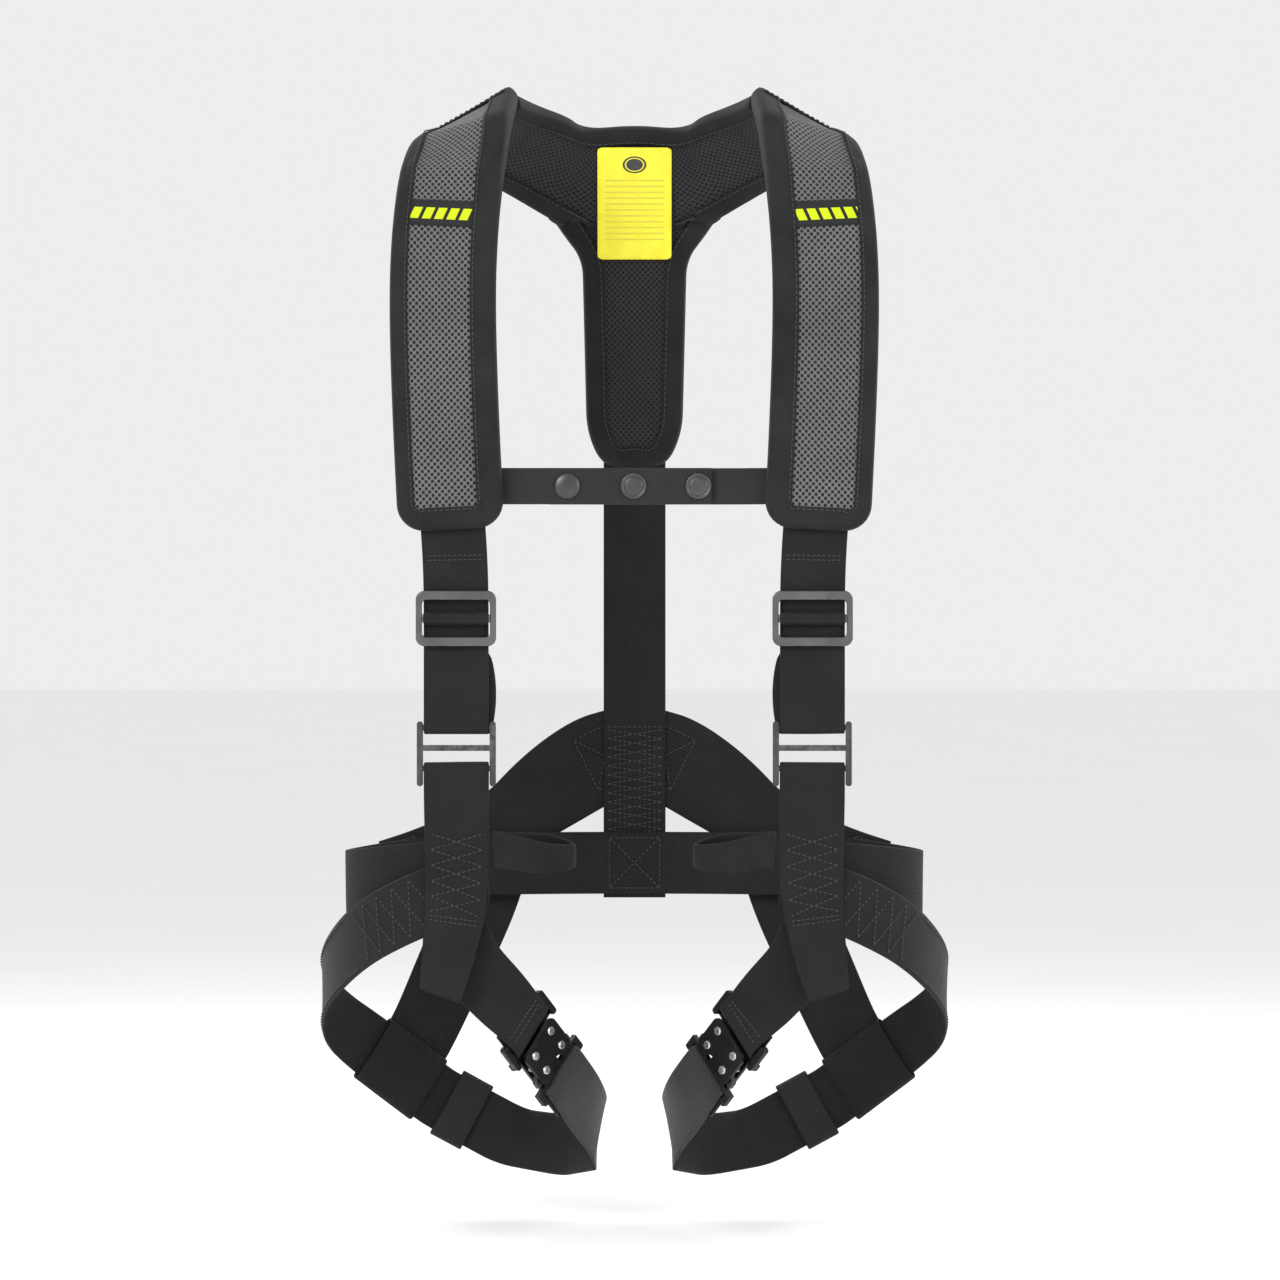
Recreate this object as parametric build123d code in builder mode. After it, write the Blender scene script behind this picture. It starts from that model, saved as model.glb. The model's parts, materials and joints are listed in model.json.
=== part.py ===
from build123d import *
import os

# Safety harness vest, in millimetres. +Z is up, -Y is the wearer's front, X runs across.
# The origin is midway between the shoulders, where the pads' inner edges rest.
# Every paired piece is made on the -X side and mirrored about the YZ plane.

os.makedirs("parts", exist_ok=True)

# Driving dimensions
WEB = 44.5  # width of the main webbing
WEB_THICK = 2.0
PAD_WIDTH = 64.0  # shoulder pads and yoke, inside their binding
BINDING = 3.5  # how far the binding stands out past a pad's edge
PAD_FOAM = 7.0
LINER = 1.5
LAYER_GAP = 0.2  # between a web and the pad layers on each side of it
CHEST_WEB = 25.0
CHEST_THICK = 1.6
CLEARANCE = 0.3  # between pieces that move on each other
FRONT_Y = -87.0  # centre of the front webs
BACK_Y = 90.0  # centre of the back web
FRONT_X = -122.0  # centre of the left front web
UP = Vector(0, 0, 1)
ACROSS_X = (1, 0, 0)

# Layers of a pad, measured from the web's centre outwards
OVER_WEB = WEB_THICK / 2 + LAYER_GAP
FOAM_TOP = OVER_WEB + PAD_FOAM
LINER_TOP = OVER_WEB + LINER


def cross_planes(route, across=None):
    """Planes across a strap at each point of its route: x across the strap, z along it.

    Without a direction across, the strap stands on edge, as it does on a hip or a thigh.
    """
    points = [Vector(*point) for point in route]
    planes = []
    for i, point in enumerate(points):
        before = points[max(i - 1, 0)]
        after = points[min(i + 1, len(points) - 1)]
        along = (after - before).normalized()
        side = UP if across is None else Vector(*across[i])
        side = (side - along * side.dot(along)).normalized()
        planes.append(Plane(origin=point, x_dir=side, z_dir=along))
    return planes


def band(planes, widths, low, high, shift=0.0):
    """A strip through planes, from low to high off their centres and shift to one side."""
    if not isinstance(widths, list):
        widths = [widths] * len(planes)
    with BuildPart() as strip:
        for i in range(len(planes) - 1):
            for plane, width in zip(planes[i : i + 2], widths[i : i + 2]):
                with BuildSketch(plane):
                    with Locations((shift, (low + high) / 2)):
                        Rectangle(width, high - low)
            loft(ruled=True)
    return strip.part


def web_band(planes, widths=WEB, thick=WEB_THICK):
    return band(planes, widths, -thick / 2, thick / 2)


def save(part, name):
    part.label = name
    export_step(part, f"parts/{name}.step")


def save_pair(part, name):
    """Write a piece of the -X side and its mirror image."""
    save(part, f"{name}_left")
    with BuildPart() as mirrored:
        mirror(part, about=Plane.YZ)
    save(mirrored.part, f"{name}_right")


# ---------------------------------------------------------------------------------------------
# Shoulders: one route serves the web, the pad, its liner and the yoke's arms. It starts at the
# middle of the back, rises to the shoulder and comes down the front.

SHOULDER_ROUTE = [
    (0, 75, -43),
    (-44.5, 69.5, -44.5),
    (-68, 53.5, -30.5),
    (-93, 38, -20),
    (-112.5, 8, -12),
    (-118.5, -36, -25),
    (-125.5, -67, -56),
    (-130, -83, -99),
    (-131.5, FRONT_Y, -145),
    (-129.5, FRONT_Y, -215),
    (-125.5, FRONT_Y, -296),
]
SHOULDER_ACROSS = [
    (0, -26, 74),
    (-3, -29, 67),
    (6, -43, 55),
    (40, -42, 43),
    (61, -4, 32),
    (63, 8, 30),
    (69, 2, 20),
    (70, 0, 9),
    ACROSS_X,
    ACROSS_X,
    ACROSS_X,
]
SHOULDER_TOP = 4  # where the yoke ends and the front pad begins
PAD_END_Z = SHOULDER_ROUTE[-1][2]

shoulder_planes = cross_planes(SHOULDER_ROUTE, SHOULDER_ACROSS)
yoke_planes = shoulder_planes[: SHOULDER_TOP + 1]
pad_planes = shoulder_planes[SHOULDER_TOP:]

# Three-bar slide and adjuster: heights along the front web
ADJUSTER_Z = -361.3
SLIDE_TOP_Z = -436.0
SLIDE_BOTTOM_Z = -464.0
BAR_RADIUS = 2.0
LOOP_RADIUS = BAR_RADIUS + CLEARANCE + WEB_THICK / 2
SLIDE_Y = FRONT_Y + LOOP_RADIUS


def shoulder_web():
    """Down the front, round the slide's top bar and back up behind itself."""
    front_planes = shoulder_planes[1:-1] + cross_planes(
        [(-125.5, FRONT_Y, -280), (FRONT_X, FRONT_Y, -330)], [ACROSS_X] * 2
    )
    top = (FRONT_Y, -330)
    bottom = (FRONT_Y, SLIDE_TOP_Z)
    back = (FRONT_Y + 2 * LOOP_RADIUS, SLIDE_TOP_Z)
    with BuildLine(mode=Mode.PRIVATE) as path:
        Line(top, bottom)
        RadiusArc(bottom, back, -LOOP_RADIUS)
        Line(back, (back[0], ADJUSTER_Z - 24))
    with BuildPart() as web:
        add(web_band(front_planes[:-1] + [Plane(front_planes[-1].origin, x_dir=ACROSS_X, z_dir=-UP)]))
        with BuildSketch(Plane.YZ.offset(FRONT_X - WEB / 2)):
            trace(path.line, line_width=WEB_THICK)
        extrude(amount=WEB)
    return web.part


def hip_web():
    """From the slide's bottom bar, round it and down over the hip seam."""
    start = (FRONT_Y + 2 * LOOP_RADIUS, SLIDE_BOTTOM_Z - 26)
    back = (FRONT_Y + 2 * LOOP_RADIUS, SLIDE_BOTTOM_Z)
    front = (FRONT_Y, SLIDE_BOTTOM_Z)
    end = (FRONT_Y, SLIDE_BOTTOM_Z - 22)
    route = [
        (FRONT_X, end[0], end[1]),
        (-121.5, FRONT_Y - 0.5, -520),
        (-122, FRONT_Y - 1.5, -558),
        (-127, FRONT_Y - 2, -590),
        (-133, FRONT_Y + 1, -620),
    ]
    across = [ACROSS_X, (1, -0.15, 0), (1, -0.3, 0), (0.85, -0.45, -0.2), (0.72, -0.62, -0.28)]
    planes = cross_planes(route, across)
    planes[0] = Plane(planes[0].origin, x_dir=ACROSS_X, z_dir=-UP)
    with BuildLine(mode=Mode.PRIVATE) as path:
        Line(start, back)
        RadiusArc(back, front, -LOOP_RADIUS)
        Line(front, end)
    with BuildPart() as web:
        with BuildSketch(Plane.YZ.offset(FRONT_X - WEB / 2)):
            trace(path.line, line_width=WEB_THICK)
        extrude(amount=WEB)
        add(web_band(planes, [WEB, WEB, WEB, 42, 38]))
    return web.part


def pad_binding():
    """Tape on both long edges and the bottom edge, open where the web comes out."""
    edge = (PAD_WIDTH + BINDING) / 2
    with BuildPart() as tape:
        add(band(pad_planes, BINDING, -LINER_TOP, FOAM_TOP, -edge))
        add(band(pad_planes, BINDING, -LINER_TOP, FOAM_TOP, edge))
        with BuildSketch(pad_planes[-1]):
            with Locations((0, (FOAM_TOP - LINER_TOP) / 2)):
                Rectangle(PAD_WIDTH + 2 * BINDING, FOAM_TOP + LINER_TOP)
            Rectangle(WEB + 3, 2 * OVER_WEB, mode=Mode.SUBTRACT)
        extrude(amount=BINDING)
    return tape.part


save_pair(band(pad_planes, PAD_WIDTH, OVER_WEB, FOAM_TOP), "shoulder_pad")
save_pair(band(pad_planes, PAD_WIDTH, -LINER_TOP, -OVER_WEB), "pad_liner")
save_pair(pad_binding(), "pad_binding")
save_pair(shoulder_web(), "shoulder_web")
save_pair(hip_web(), "hip_web")

# A woven patch sewn across each pad, just below the collar bone
PATCH_TOP_Z, PATCH_BOTTOM_Z, PATCH_THICK = -76.0, -96.0, 1.0
PATCH_LIFT = FOAM_TOP + 0.4
above, below = pad_planes[2], pad_planes[3]
patch_route, patch_across = [], []
for z in (PATCH_TOP_Z, PATCH_BOTTOM_Z):
    share = (z - above.origin.Z) / (below.origin.Z - above.origin.Z)
    patch_route.append(tuple(above.origin * (1 - share) + below.origin * share))
    patch_across.append(tuple(above.x_dir * (1 - share) + below.x_dir * share))
patch_planes = cross_planes(patch_route, patch_across)
save_pair(band(patch_planes, PAD_WIDTH, PATCH_LIFT, PATCH_LIFT + PATCH_THICK), "pad_patch")

# ---------------------------------------------------------------------------------------------
# Yoke: arms from shoulder to shoulder and a stem down the back

STEM_ROUTE = [(0, BACK_Y, -248), (0, BACK_Y, -225), (0, BACK_Y, -103), (0, 86, -70)]
STEM_WIDTHS = [40, 60, 66, 78]
stem_planes = cross_planes(STEM_ROUTE, [ACROSS_X] * len(STEM_ROUTE))


def yoke_arm(low, high, width=PAD_WIDTH, shift=0.0):
    """Both arms and the middle, as one strip from shoulder to shoulder."""
    with BuildPart() as arms:
        add(band(yoke_planes, width, low, high, shift))
        mirror(about=Plane.YZ)
    return arms.part


def yoke_layer(low, high):
    with BuildPart() as layer:
        add(yoke_arm(low, high))
        add(band(stem_planes, STEM_WIDTHS, low, high))
    return layer.part


def yoke_binding():
    """Tape along the neck edge, and along each side and the foot of the stem."""
    edge = (PAD_WIDTH + BINDING) / 2
    with BuildPart() as tape:
        add(yoke_arm(-FOAM_TOP, -OVER_WEB, BINDING, edge))
        for side in (-1, 1):
            with BuildPart(mode=Mode.PRIVATE) as stem_edge:
                for plane, width in zip(stem_planes[:3], STEM_WIDTHS):
                    with BuildSketch(plane):
                        with Locations((side * (width + BINDING) / 2, -(FOAM_TOP + OVER_WEB) / 2)):
                            Rectangle(BINDING, FOAM_TOP - OVER_WEB)
                loft(ruled=True)
            add(stem_edge.part)
        with BuildSketch(Plane.XY.offset(STEM_ROUTE[0][2])):
            with Locations((0, BACK_Y - (FOAM_TOP + OVER_WEB) / 2)):
                Rectangle(STEM_WIDTHS[0] + 2 * BINDING, FOAM_TOP - OVER_WEB)
        extrude(amount=-BINDING)
    return tape.part


save(yoke_layer(-FOAM_TOP, -OVER_WEB), "yoke_pad")
save(yoke_layer(OVER_WEB, LINER_TOP), "yoke_cover")
save(yoke_binding(), "yoke_binding")

# Care label on the body side of the yoke
LABEL_WIDTH, LABEL_THICK = 53.0, 0.8
label_route = [(0, 80.0, -103), (0, 72.4, -76), (0, 55.6, -25)]
label_planes = cross_planes(label_route, [ACROSS_X] * 3)
save(web_band(label_planes, LABEL_WIDTH, LABEL_THICK), "care_label")

# Back web, from under the yoke to just below the belt
BACK_WEB_TOP, BACK_WEB_BOTTOM = -106.0, -561.0
with BuildPart() as back_web:
    with BuildSketch(Plane.XY.offset(BACK_WEB_BOTTOM)):
        with Locations((0, BACK_Y)):
            Rectangle(WEB, WEB_THICK)
    extrude(amount=BACK_WEB_TOP - BACK_WEB_BOTTOM)
save(back_web.part, "back_web")

# Dorsal anchor: a sewn patch and the tether loop that hangs from it
DORSAL_Y = BACK_Y + LINER_TOP + 1.5
DORSAL_HINGE_Z = -100.0
LOOP_LENGTH, LOOP_INNER = 70.0, 8.0
with BuildPart() as dorsal_patch:
    with BuildSketch(Plane.XY.offset(DORSAL_HINGE_Z - 30)):
        with Locations((0, DORSAL_Y)):
            Rectangle(WEB + 12, 2)
    extrude(amount=28)
save(dorsal_patch.part, "dorsal_patch")

loop_y = DORSAL_Y + 1 + CLEARANCE + WEB_THICK / 2
with BuildLine(mode=Mode.PRIVATE) as tether_path:
    inner_top = (loop_y, DORSAL_HINGE_Z)
    inner_foot = (loop_y, DORSAL_HINGE_Z - LOOP_LENGTH)
    outer_foot = (loop_y + LOOP_INNER, DORSAL_HINGE_Z - LOOP_LENGTH)
    outer_top = (loop_y + LOOP_INNER, DORSAL_HINGE_Z)
    Line(inner_top, inner_foot)
    RadiusArc(inner_foot, outer_foot, -LOOP_INNER / 2)
    Line(outer_foot, outer_top)
    RadiusArc(outer_top, inner_top, -LOOP_INNER / 2)
with BuildPart() as dorsal_loop:
    with BuildSketch(Plane.YZ.offset(-WEB / 2)):
        trace(tether_path.line, line_width=WEB_THICK)
    extrude(amount=WEB)
save(dorsal_loop.part, "dorsal_loop")

# ---------------------------------------------------------------------------------------------
# Chest strap: the left half laps over the right half and three snaps join them

CHEST_Z = -270.5
CHEST_FRONT_Y = -82.8  # centre of the left half
CHEST_BACK_Y = CHEST_FRONT_Y + 5.4  # centre of the right half
CHEST_HINGE_X = 88.5
LEFT_END_X, RIGHT_END_X = 53.0, -58.0
SNAP_X = (-46.0, -0.5, 44.0)
CAP_RADIUS, CAP_HEIGHT = 9.0, 3.0
SOCKET_RADIUS, STUD_RADIUS, FLANGE_RADIUS = 6.5, 2.9, 6.5
SOCKET_DEPTH = 2.6


def flat_strap(x_low, x_high, y):
    with BuildPart() as strap:
        with BuildSketch(Plane.XZ.offset(-y - CHEST_THICK / 2)):
            with Locations(((x_low + x_high) / 2, CHEST_Z)):
                Rectangle(x_high - x_low, CHEST_WEB)
        extrude(amount=CHEST_THICK)
    return strap.part


save(flat_strap(-CHEST_HINGE_X, LEFT_END_X, CHEST_FRONT_Y), "chest_strap_left")

right_route = [
    (CHEST_HINGE_X, CHEST_FRONT_Y, CHEST_Z),
    (68, CHEST_BACK_Y, CHEST_Z),
    (RIGHT_END_X, CHEST_BACK_Y, CHEST_Z),
]
right_planes = cross_planes(right_route, [UP] * 3)
chest_right = band(right_planes, CHEST_WEB, -CHEST_THICK / 2, CHEST_THICK / 2)
save(chest_right, "chest_strap_right")

with BuildPart() as chest_tabs:
    for middle_x in (-CHEST_HINGE_X - 15, CHEST_HINGE_X + 15):
        with BuildSketch(Plane.XZ.offset(-CHEST_FRONT_Y - CHEST_THICK / 2)):
            with Locations((middle_x, CHEST_Z)):
                Rectangle(27, CHEST_WEB)
    extrude(amount=CHEST_THICK)
save(chest_tabs.part, "chest_tabs")

cap_face = Plane.XZ.offset(-CHEST_FRONT_Y + CHEST_THICK / 2)
with BuildPart() as snap_caps:
    with BuildSketch(cap_face):
        with Locations(*[(x, CHEST_Z) for x in SNAP_X]):
            Circle(CAP_RADIUS)
    extrude(amount=CAP_HEIGHT, taper=20)
    with BuildSketch(Plane.XZ.offset(-CHEST_FRONT_Y - CHEST_THICK / 2)):
        with Locations(*[(x, CHEST_Z) for x in SNAP_X]):
            Circle(SOCKET_RADIUS)
            Circle(STUD_RADIUS + CLEARANCE, mode=Mode.SUBTRACT)
    extrude(amount=-SOCKET_DEPTH)
save(snap_caps.part, "snap_caps")

with BuildPart() as snap_studs:
    with BuildSketch(Plane.XZ.offset(-CHEST_BACK_Y + CHEST_THICK / 2)):
        with Locations(*[(x, CHEST_Z) for x in SNAP_X]):
            Circle(FLANGE_RADIUS)
    extrude(amount=0.7)
    with BuildSketch(Plane.XZ.offset(-CHEST_BACK_Y + CHEST_THICK / 2)):
        with Locations(*[(x, CHEST_Z) for x in SNAP_X]):
            Circle(STUD_RADIUS)
    extrude(amount=3.2)
save(snap_studs.part, "snap_studs")

# ---------------------------------------------------------------------------------------------
# Adjusters on the front webs

ADJUSTER_WIDE, ADJUSTER_TALL, ADJUSTER_THICK = 55.0, 38.0, 4.0
RAIL = 4.2
ADJUSTER_Y = -91.6
WRAP_THICK = 1.6
BAR_TALL, BAR_THICK = 5.5, 3.0


def adjuster_frame():
    with BuildPart() as frame:
        with BuildSketch(Plane.XZ.offset(-ADJUSTER_Y - ADJUSTER_THICK / 2)):
            with Locations((FRONT_X, ADJUSTER_Z)):
                RectangleRounded(ADJUSTER_WIDE, ADJUSTER_TALL, 6)
                RectangleRounded(ADJUSTER_WIDE - 2 * RAIL, ADJUSTER_TALL - 12.6, 3, mode=Mode.SUBTRACT)
        extrude(amount=ADJUSTER_THICK)
        fillet(frame.faces().sort_by(Axis.Y)[0].edges(), 1)
    return frame.part


def adjuster_bar():
    with BuildPart() as bar:
        with BuildSketch(Plane.YZ.offset(FRONT_X - ADJUSTER_WIDE / 2 + RAIL)):
            with Locations((ADJUSTER_Y, ADJUSTER_Z)):
                RectangleRounded(BAR_THICK, BAR_TALL, 1.4)
        extrude(amount=ADJUSTER_WIDE - 2 * RAIL)
    return bar.part


def adjuster_wrap():
    """The web's sewn end, wrapped round the bar."""
    with BuildPart() as wrap:
        with BuildSketch(Plane.YZ.offset(FRONT_X - WEB / 2)):
            with Locations((ADJUSTER_Y, ADJUSTER_Z)):
                RectangleRounded(BAR_THICK + 2 * WRAP_THICK, BAR_TALL + 2 * WRAP_THICK, 3)
                RectangleRounded(BAR_THICK, BAR_TALL, 1.4, mode=Mode.SUBTRACT)
        extrude(amount=WEB)
    return wrap.part


def three_bar_slide():
    """A flat ladder: top and bottom bars inside the web loops, the middle bar in view."""
    frame_tall = 44.5
    middle_z = (SLIDE_TOP_Z + SLIDE_BOTTOM_Z) / 2
    rail_x = WEB / 2 + 0.6 + RAIL / 2
    thick = 2 * BAR_RADIUS
    with BuildPart() as slide:
        with BuildSketch(Plane.XZ.offset(-SLIDE_Y - thick / 2)):
            with Locations((FRONT_X - rail_x, middle_z - 4), (FRONT_X + rail_x, middle_z - 4)):
                RectangleRounded(RAIL, frame_tall, 2)
            with Locations((FRONT_X, middle_z)):
                Rectangle(2 * rail_x, 4)
        extrude(amount=thick)
        with BuildSketch(Plane.YZ.offset(FRONT_X - rail_x)):
            with Locations((SLIDE_Y, SLIDE_TOP_Z), (SLIDE_Y, SLIDE_BOTTOM_Z)):
                Circle(BAR_RADIUS)
        extrude(amount=2 * rail_x)
    return slide.part


save_pair(adjuster_frame(), "adjuster_frame")
save_pair(adjuster_bar(), "adjuster_bar")
save_pair(adjuster_wrap(), "adjuster_wrap")
save_pair(three_bar_slide(), "three_bar_slide")

# ---------------------------------------------------------------------------------------------
# Waist: belt, the V of back straps, side loops

HALF_BELT = [
    (-101, -79.5, -534),
    (-140, -74, -537),
    (-184, -50, -542),
    (-206, -5, -546),
    (-190, 45, -544),
    (-150, 77, -539),
    (-95, 87, -536),
]
belt_route = HALF_BELT + [(-x, y, z) for x, y, z in reversed(HALF_BELT)]
save(web_band(cross_planes(belt_route)), "waist_belt")

BACK_STRAP_ROUTE = [
    (-4, 92.4, -452),
    (-30, 92.4, -466),
    (-66, 92, -490),
    (-102, 89.5, -514),
    (-151, 80.5, -533),
    (-178, 62.5, -541),
]
save_pair(web_band(cross_planes(BACK_STRAP_ROUTE), [60, 56, 50, 47, WEB, WEB]), "back_strap")

SIDE_LOOP_Z = -519.5
SIDE_LOOP_TALL = 25.0
SIDE_LOOP_BASE = (-96.0, -90.0)
SIDE_LOOP_TIP_X = -41.0


def side_loop():
    """A teardrop loop of narrow web, sewn at the hip and open up and down."""
    x, y = SIDE_LOOP_BASE
    tip = SIDE_LOOP_TIP_X
    root_gap, tip_gap = 1.4, 6.2
    shoulder_x = x + 8
    bend_x = tip - tip_gap
    with BuildLine(mode=Mode.PRIVATE) as path:
        Line((bend_x, y - tip_gap), (shoulder_x, y - root_gap))
        Polyline(
            (shoulder_x, y - root_gap),
            (x, y - root_gap),
            (x, y + root_gap),
            (shoulder_x, y + root_gap),
        )
        Line((shoulder_x, y + root_gap), (bend_x, y + tip_gap))
        ThreePointArc((bend_x, y + tip_gap), (tip, y), (bend_x, y - tip_gap))
    with BuildPart() as loop:
        with BuildSketch(Plane.XY.offset(SIDE_LOOP_Z - SIDE_LOOP_TALL / 2)):
            trace(path.line, line_width=WEB_THICK)
        extrude(amount=SIDE_LOOP_TALL)
    return loop.part


save_pair(side_loop(), "side_loop")

# ---------------------------------------------------------------------------------------------
# Leg loops

# The leg web runs straight through the riser's hem and through the keeper
HEM_START, HEM_END = (-190, 48.5, -663), (-144, 72.5, -700.5)
KEEPER_START, KEEPER_END = (-136.5, 74.5, -705.5), (-88, 73, -731.5)
INNER_TURN = (-23, 9, -722)
TURN_ACROSS = (0.22, 0.38, 0.90)

OUTER_LEG_ROUTE = [
    (-116, -82.5, -545),
    (-161, -77.5, -563),
    (-195, -50, -584),
    (-221, -6, -617),
    (-213, 26, -642),
    HEM_START,
]
INNER_LEG_ROUTE = [KEEPER_END, (-53, 50, -735), INNER_TURN]
hem_planes = cross_planes([HEM_START, HEM_END])
keeper_planes = cross_planes([KEEPER_START, KEEPER_END])
rear_leg_planes = (
    cross_planes(OUTER_LEG_ROUTE)[:-1]
    + hem_planes
    + keeper_planes
    + cross_planes(INNER_LEG_ROUTE)[1:]
)
save_pair(web_band(rear_leg_planes), "leg_web_rear")

# The buckle's own frame: x along the strap towards the tongue, y across, z outwards
BUCKLE_AT = Vector(-73, -66, -645)
BUCKLE_ALONG = Vector(0.481, 0.545, -0.687).normalized()
buckle_out = BUCKLE_ALONG.cross(UP).normalized()
buckle_side = buckle_out.cross(BUCKLE_ALONG)
buckle = Plane(origin=BUCKLE_AT, x_dir=BUCKLE_ALONG, z_dir=buckle_out)
strap_end = BUCKLE_AT - BUCKLE_ALONG * 10 + buckle_out * LOOP_RADIUS
TONGUE_BAR = 45.0  # from the base plate's bar to the tongue's bar


def bar_loop(at, towards, tail):
    """A web end wrapped round a bar at distance at, its layers running towards +1 or -1."""
    near = (at, LOOP_RADIUS)
    far = (at, -LOOP_RADIUS)
    side_view = Plane(origin=BUCKLE_AT, x_dir=BUCKLE_ALONG, z_dir=-buckle_side)
    with BuildLine(mode=Mode.PRIVATE) as path:
        Line((at + towards * 10, LOOP_RADIUS), near)
        RadiusArc(near, far, towards * -LOOP_RADIUS)
        Line(far, (at + towards * tail, -LOOP_RADIUS))
    with BuildPart() as loop:
        with BuildSketch(side_view.offset(-WEB / 2)):
            trace(path.line, line_width=WEB_THICK)
        extrude(amount=WEB)
    return loop.part


UPPER_LEG_ROUTE = [(-121, -82, -580), (-113, -82, -598), (-93, -79, -620), tuple(strap_end)]
upper_planes = cross_planes(UPPER_LEG_ROUTE)
upper_planes[-1] = Plane(origin=strap_end, x_dir=buckle_side, z_dir=BUCKLE_ALONG)
with BuildPart() as upper_leg_strap:
    add(web_band(upper_planes))
    add(bar_loop(0, -1, 20))
save_pair(upper_leg_strap.part, "upper_leg_strap")

web_start = BUCKLE_AT + BUCKLE_ALONG * (TONGUE_BAR + 10) + buckle_out * LOOP_RADIUS
front_leg_planes = cross_planes(
    [tuple(web_start), (-34, -20, -700), (-24, 8, -719)],
    [tuple(buckle_side), (0.50, 0.48, 0.72), TURN_ACROSS],
)
front_leg_planes[0] = Plane(origin=web_start, x_dir=buckle_side, z_dir=BUCKLE_ALONG)
with BuildPart() as leg_web_front:
    add(web_band(front_leg_planes))
    add(bar_loop(TONGUE_BAR, 1, 22))
save_pair(leg_web_front.part, "leg_web_front")


def sleeve(start_plane, begins, length, inner_tall, inner_deep, wall):
    """A flat tube round the leg web that begins some way past start_plane."""
    with BuildPart() as tube:
        with BuildSketch(start_plane.offset(begins)):
            Rectangle(inner_tall + 2 * wall, inner_deep + 2 * wall)
            Rectangle(inner_tall, inner_deep, mode=Mode.SUBTRACT)
        extrude(amount=length)
    return tube.part


KEEPER_LENGTH, KEEPER_BEGINS = 24.0, 3.0
save_pair(sleeve(keeper_planes[0], KEEPER_BEGINS, KEEPER_LENGTH, WEB + 1.9, 3.6, 1.8), "keeper")

# Riser: from the belt's outer side down to a hem round the leg web
RISER_WIDTH, HEM_LENGTH, HEM_BEGINS, HEM_INNER, HEM_WALL = 52.0, 54.0, 5.0, 3.2, 2.0
hem_along, hem_up, hem_out = hem_planes[0].z_dir, hem_planes[0].x_dir, hem_planes[0].y_dir
hem_middle = hem_planes[0].origin + hem_along * (HEM_BEGINS + HEM_LENGTH / 2)
riser_foot = hem_middle + hem_out * (HEM_INNER / 2 + HEM_WALL / 2) + hem_up * 19
riser_route = [(-103, 94.5, -541), (-113, 93.5, -570), (-131, 88, -610), tuple(riser_foot)]
riser_across = [(0.92, 0.05, -0.38), (0.92, 0.05, -0.38), (0.84, 0.2, -0.5), tuple(hem_along)]
with BuildPart() as riser:
    add(web_band(cross_planes(riser_route, riser_across), RISER_WIDTH))
    add(sleeve(hem_planes[0], HEM_BEGINS, HEM_LENGTH, WEB + 2, HEM_INNER, HEM_WALL))
save_pair(riser.part, "riser_strap")

# ---------------------------------------------------------------------------------------------
# Leg buckle: base plate with its web bar, cover plate, rivets, release clips, springs, tongue

PLATE_WIDE, PLATE_START, PLATE_END, PLATE_THICK = 40.0, 7.0, 37.0, 2.5
SLOT = 4.6  # between the two plates
RIVET_RADIUS, RIVET_HEAD = 2.2, 3.2
RIVETS_ALONG = (13.7, 28.7)
RIVET_SIDE = 11.3
FRAME_WIDE = 56.0
TONGUE_THICK = 3.6
CLIP_THICK = 3.6
plate_middle = (PLATE_START + PLATE_END) / 2
rivet_places = [(a, s * RIVET_SIDE) for a in RIVETS_ALONG for s in (-1, 1)]


def plate_outline():
    with BuildSketch(mode=Mode.PRIVATE) as outline:
        with Locations((plate_middle, 0)):
            RectangleRounded(PLATE_END - PLATE_START, PLATE_WIDE, 5)
        with Locations((PLATE_END + 1, 0)):
            Circle(8, mode=Mode.SUBTRACT)
        with Locations(*rivet_places):
            Circle(RIVET_RADIUS, mode=Mode.SUBTRACT)
    return outline.sketch


def base_plate():
    """The back plate runs on into the frame whose bar the upper leg strap is sewn round."""
    low = -SLOT / 2 - PLATE_THICK
    rail = (FRAME_WIDE - WEB - 1.6) / 2
    rail_y = (FRAME_WIDE - rail) / 2
    with BuildPart() as plate:
        with BuildSketch(buckle.offset(low)):
            add(plate_outline())
        extrude(amount=PLATE_THICK)
        with BuildSketch(buckle.offset(-BAR_RADIUS)):
            with Locations((0, -rail_y), (0, rail_y)):
                RectangleRounded(22, rail, 2)
        extrude(amount=2 * BAR_RADIUS)
        with BuildSketch(buckle.offset(low)):
            with Locations((8, 0)):
                Rectangle(5, FRAME_WIDE)
        extrude(amount=PLATE_THICK + 0.6)
        bar_face = Plane(origin=BUCKLE_AT - buckle_side * rail_y, x_dir=BUCKLE_ALONG, z_dir=buckle_side)
        with BuildSketch(bar_face):
            Circle(BAR_RADIUS)
        extrude(amount=2 * rail_y)
    return plate.part


def cover_plate():
    with BuildPart() as plate:
        with BuildSketch(buckle.offset(SLOT / 2)):
            add(plate_outline())
        extrude(amount=PLATE_THICK)
    return plate.part


def rivets():
    reach = SLOT / 2 + PLATE_THICK
    with BuildPart() as pins:
        with BuildSketch(buckle.offset(-reach)):
            with Locations(*rivet_places):
                Circle(RIVET_RADIUS)
        extrude(amount=2 * reach)
        with BuildSketch(buckle.offset(reach)):
            with Locations(*rivet_places):
                Circle(RIVET_HEAD)
        extrude(amount=1.2, taper=25)
    return pins.part


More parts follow.
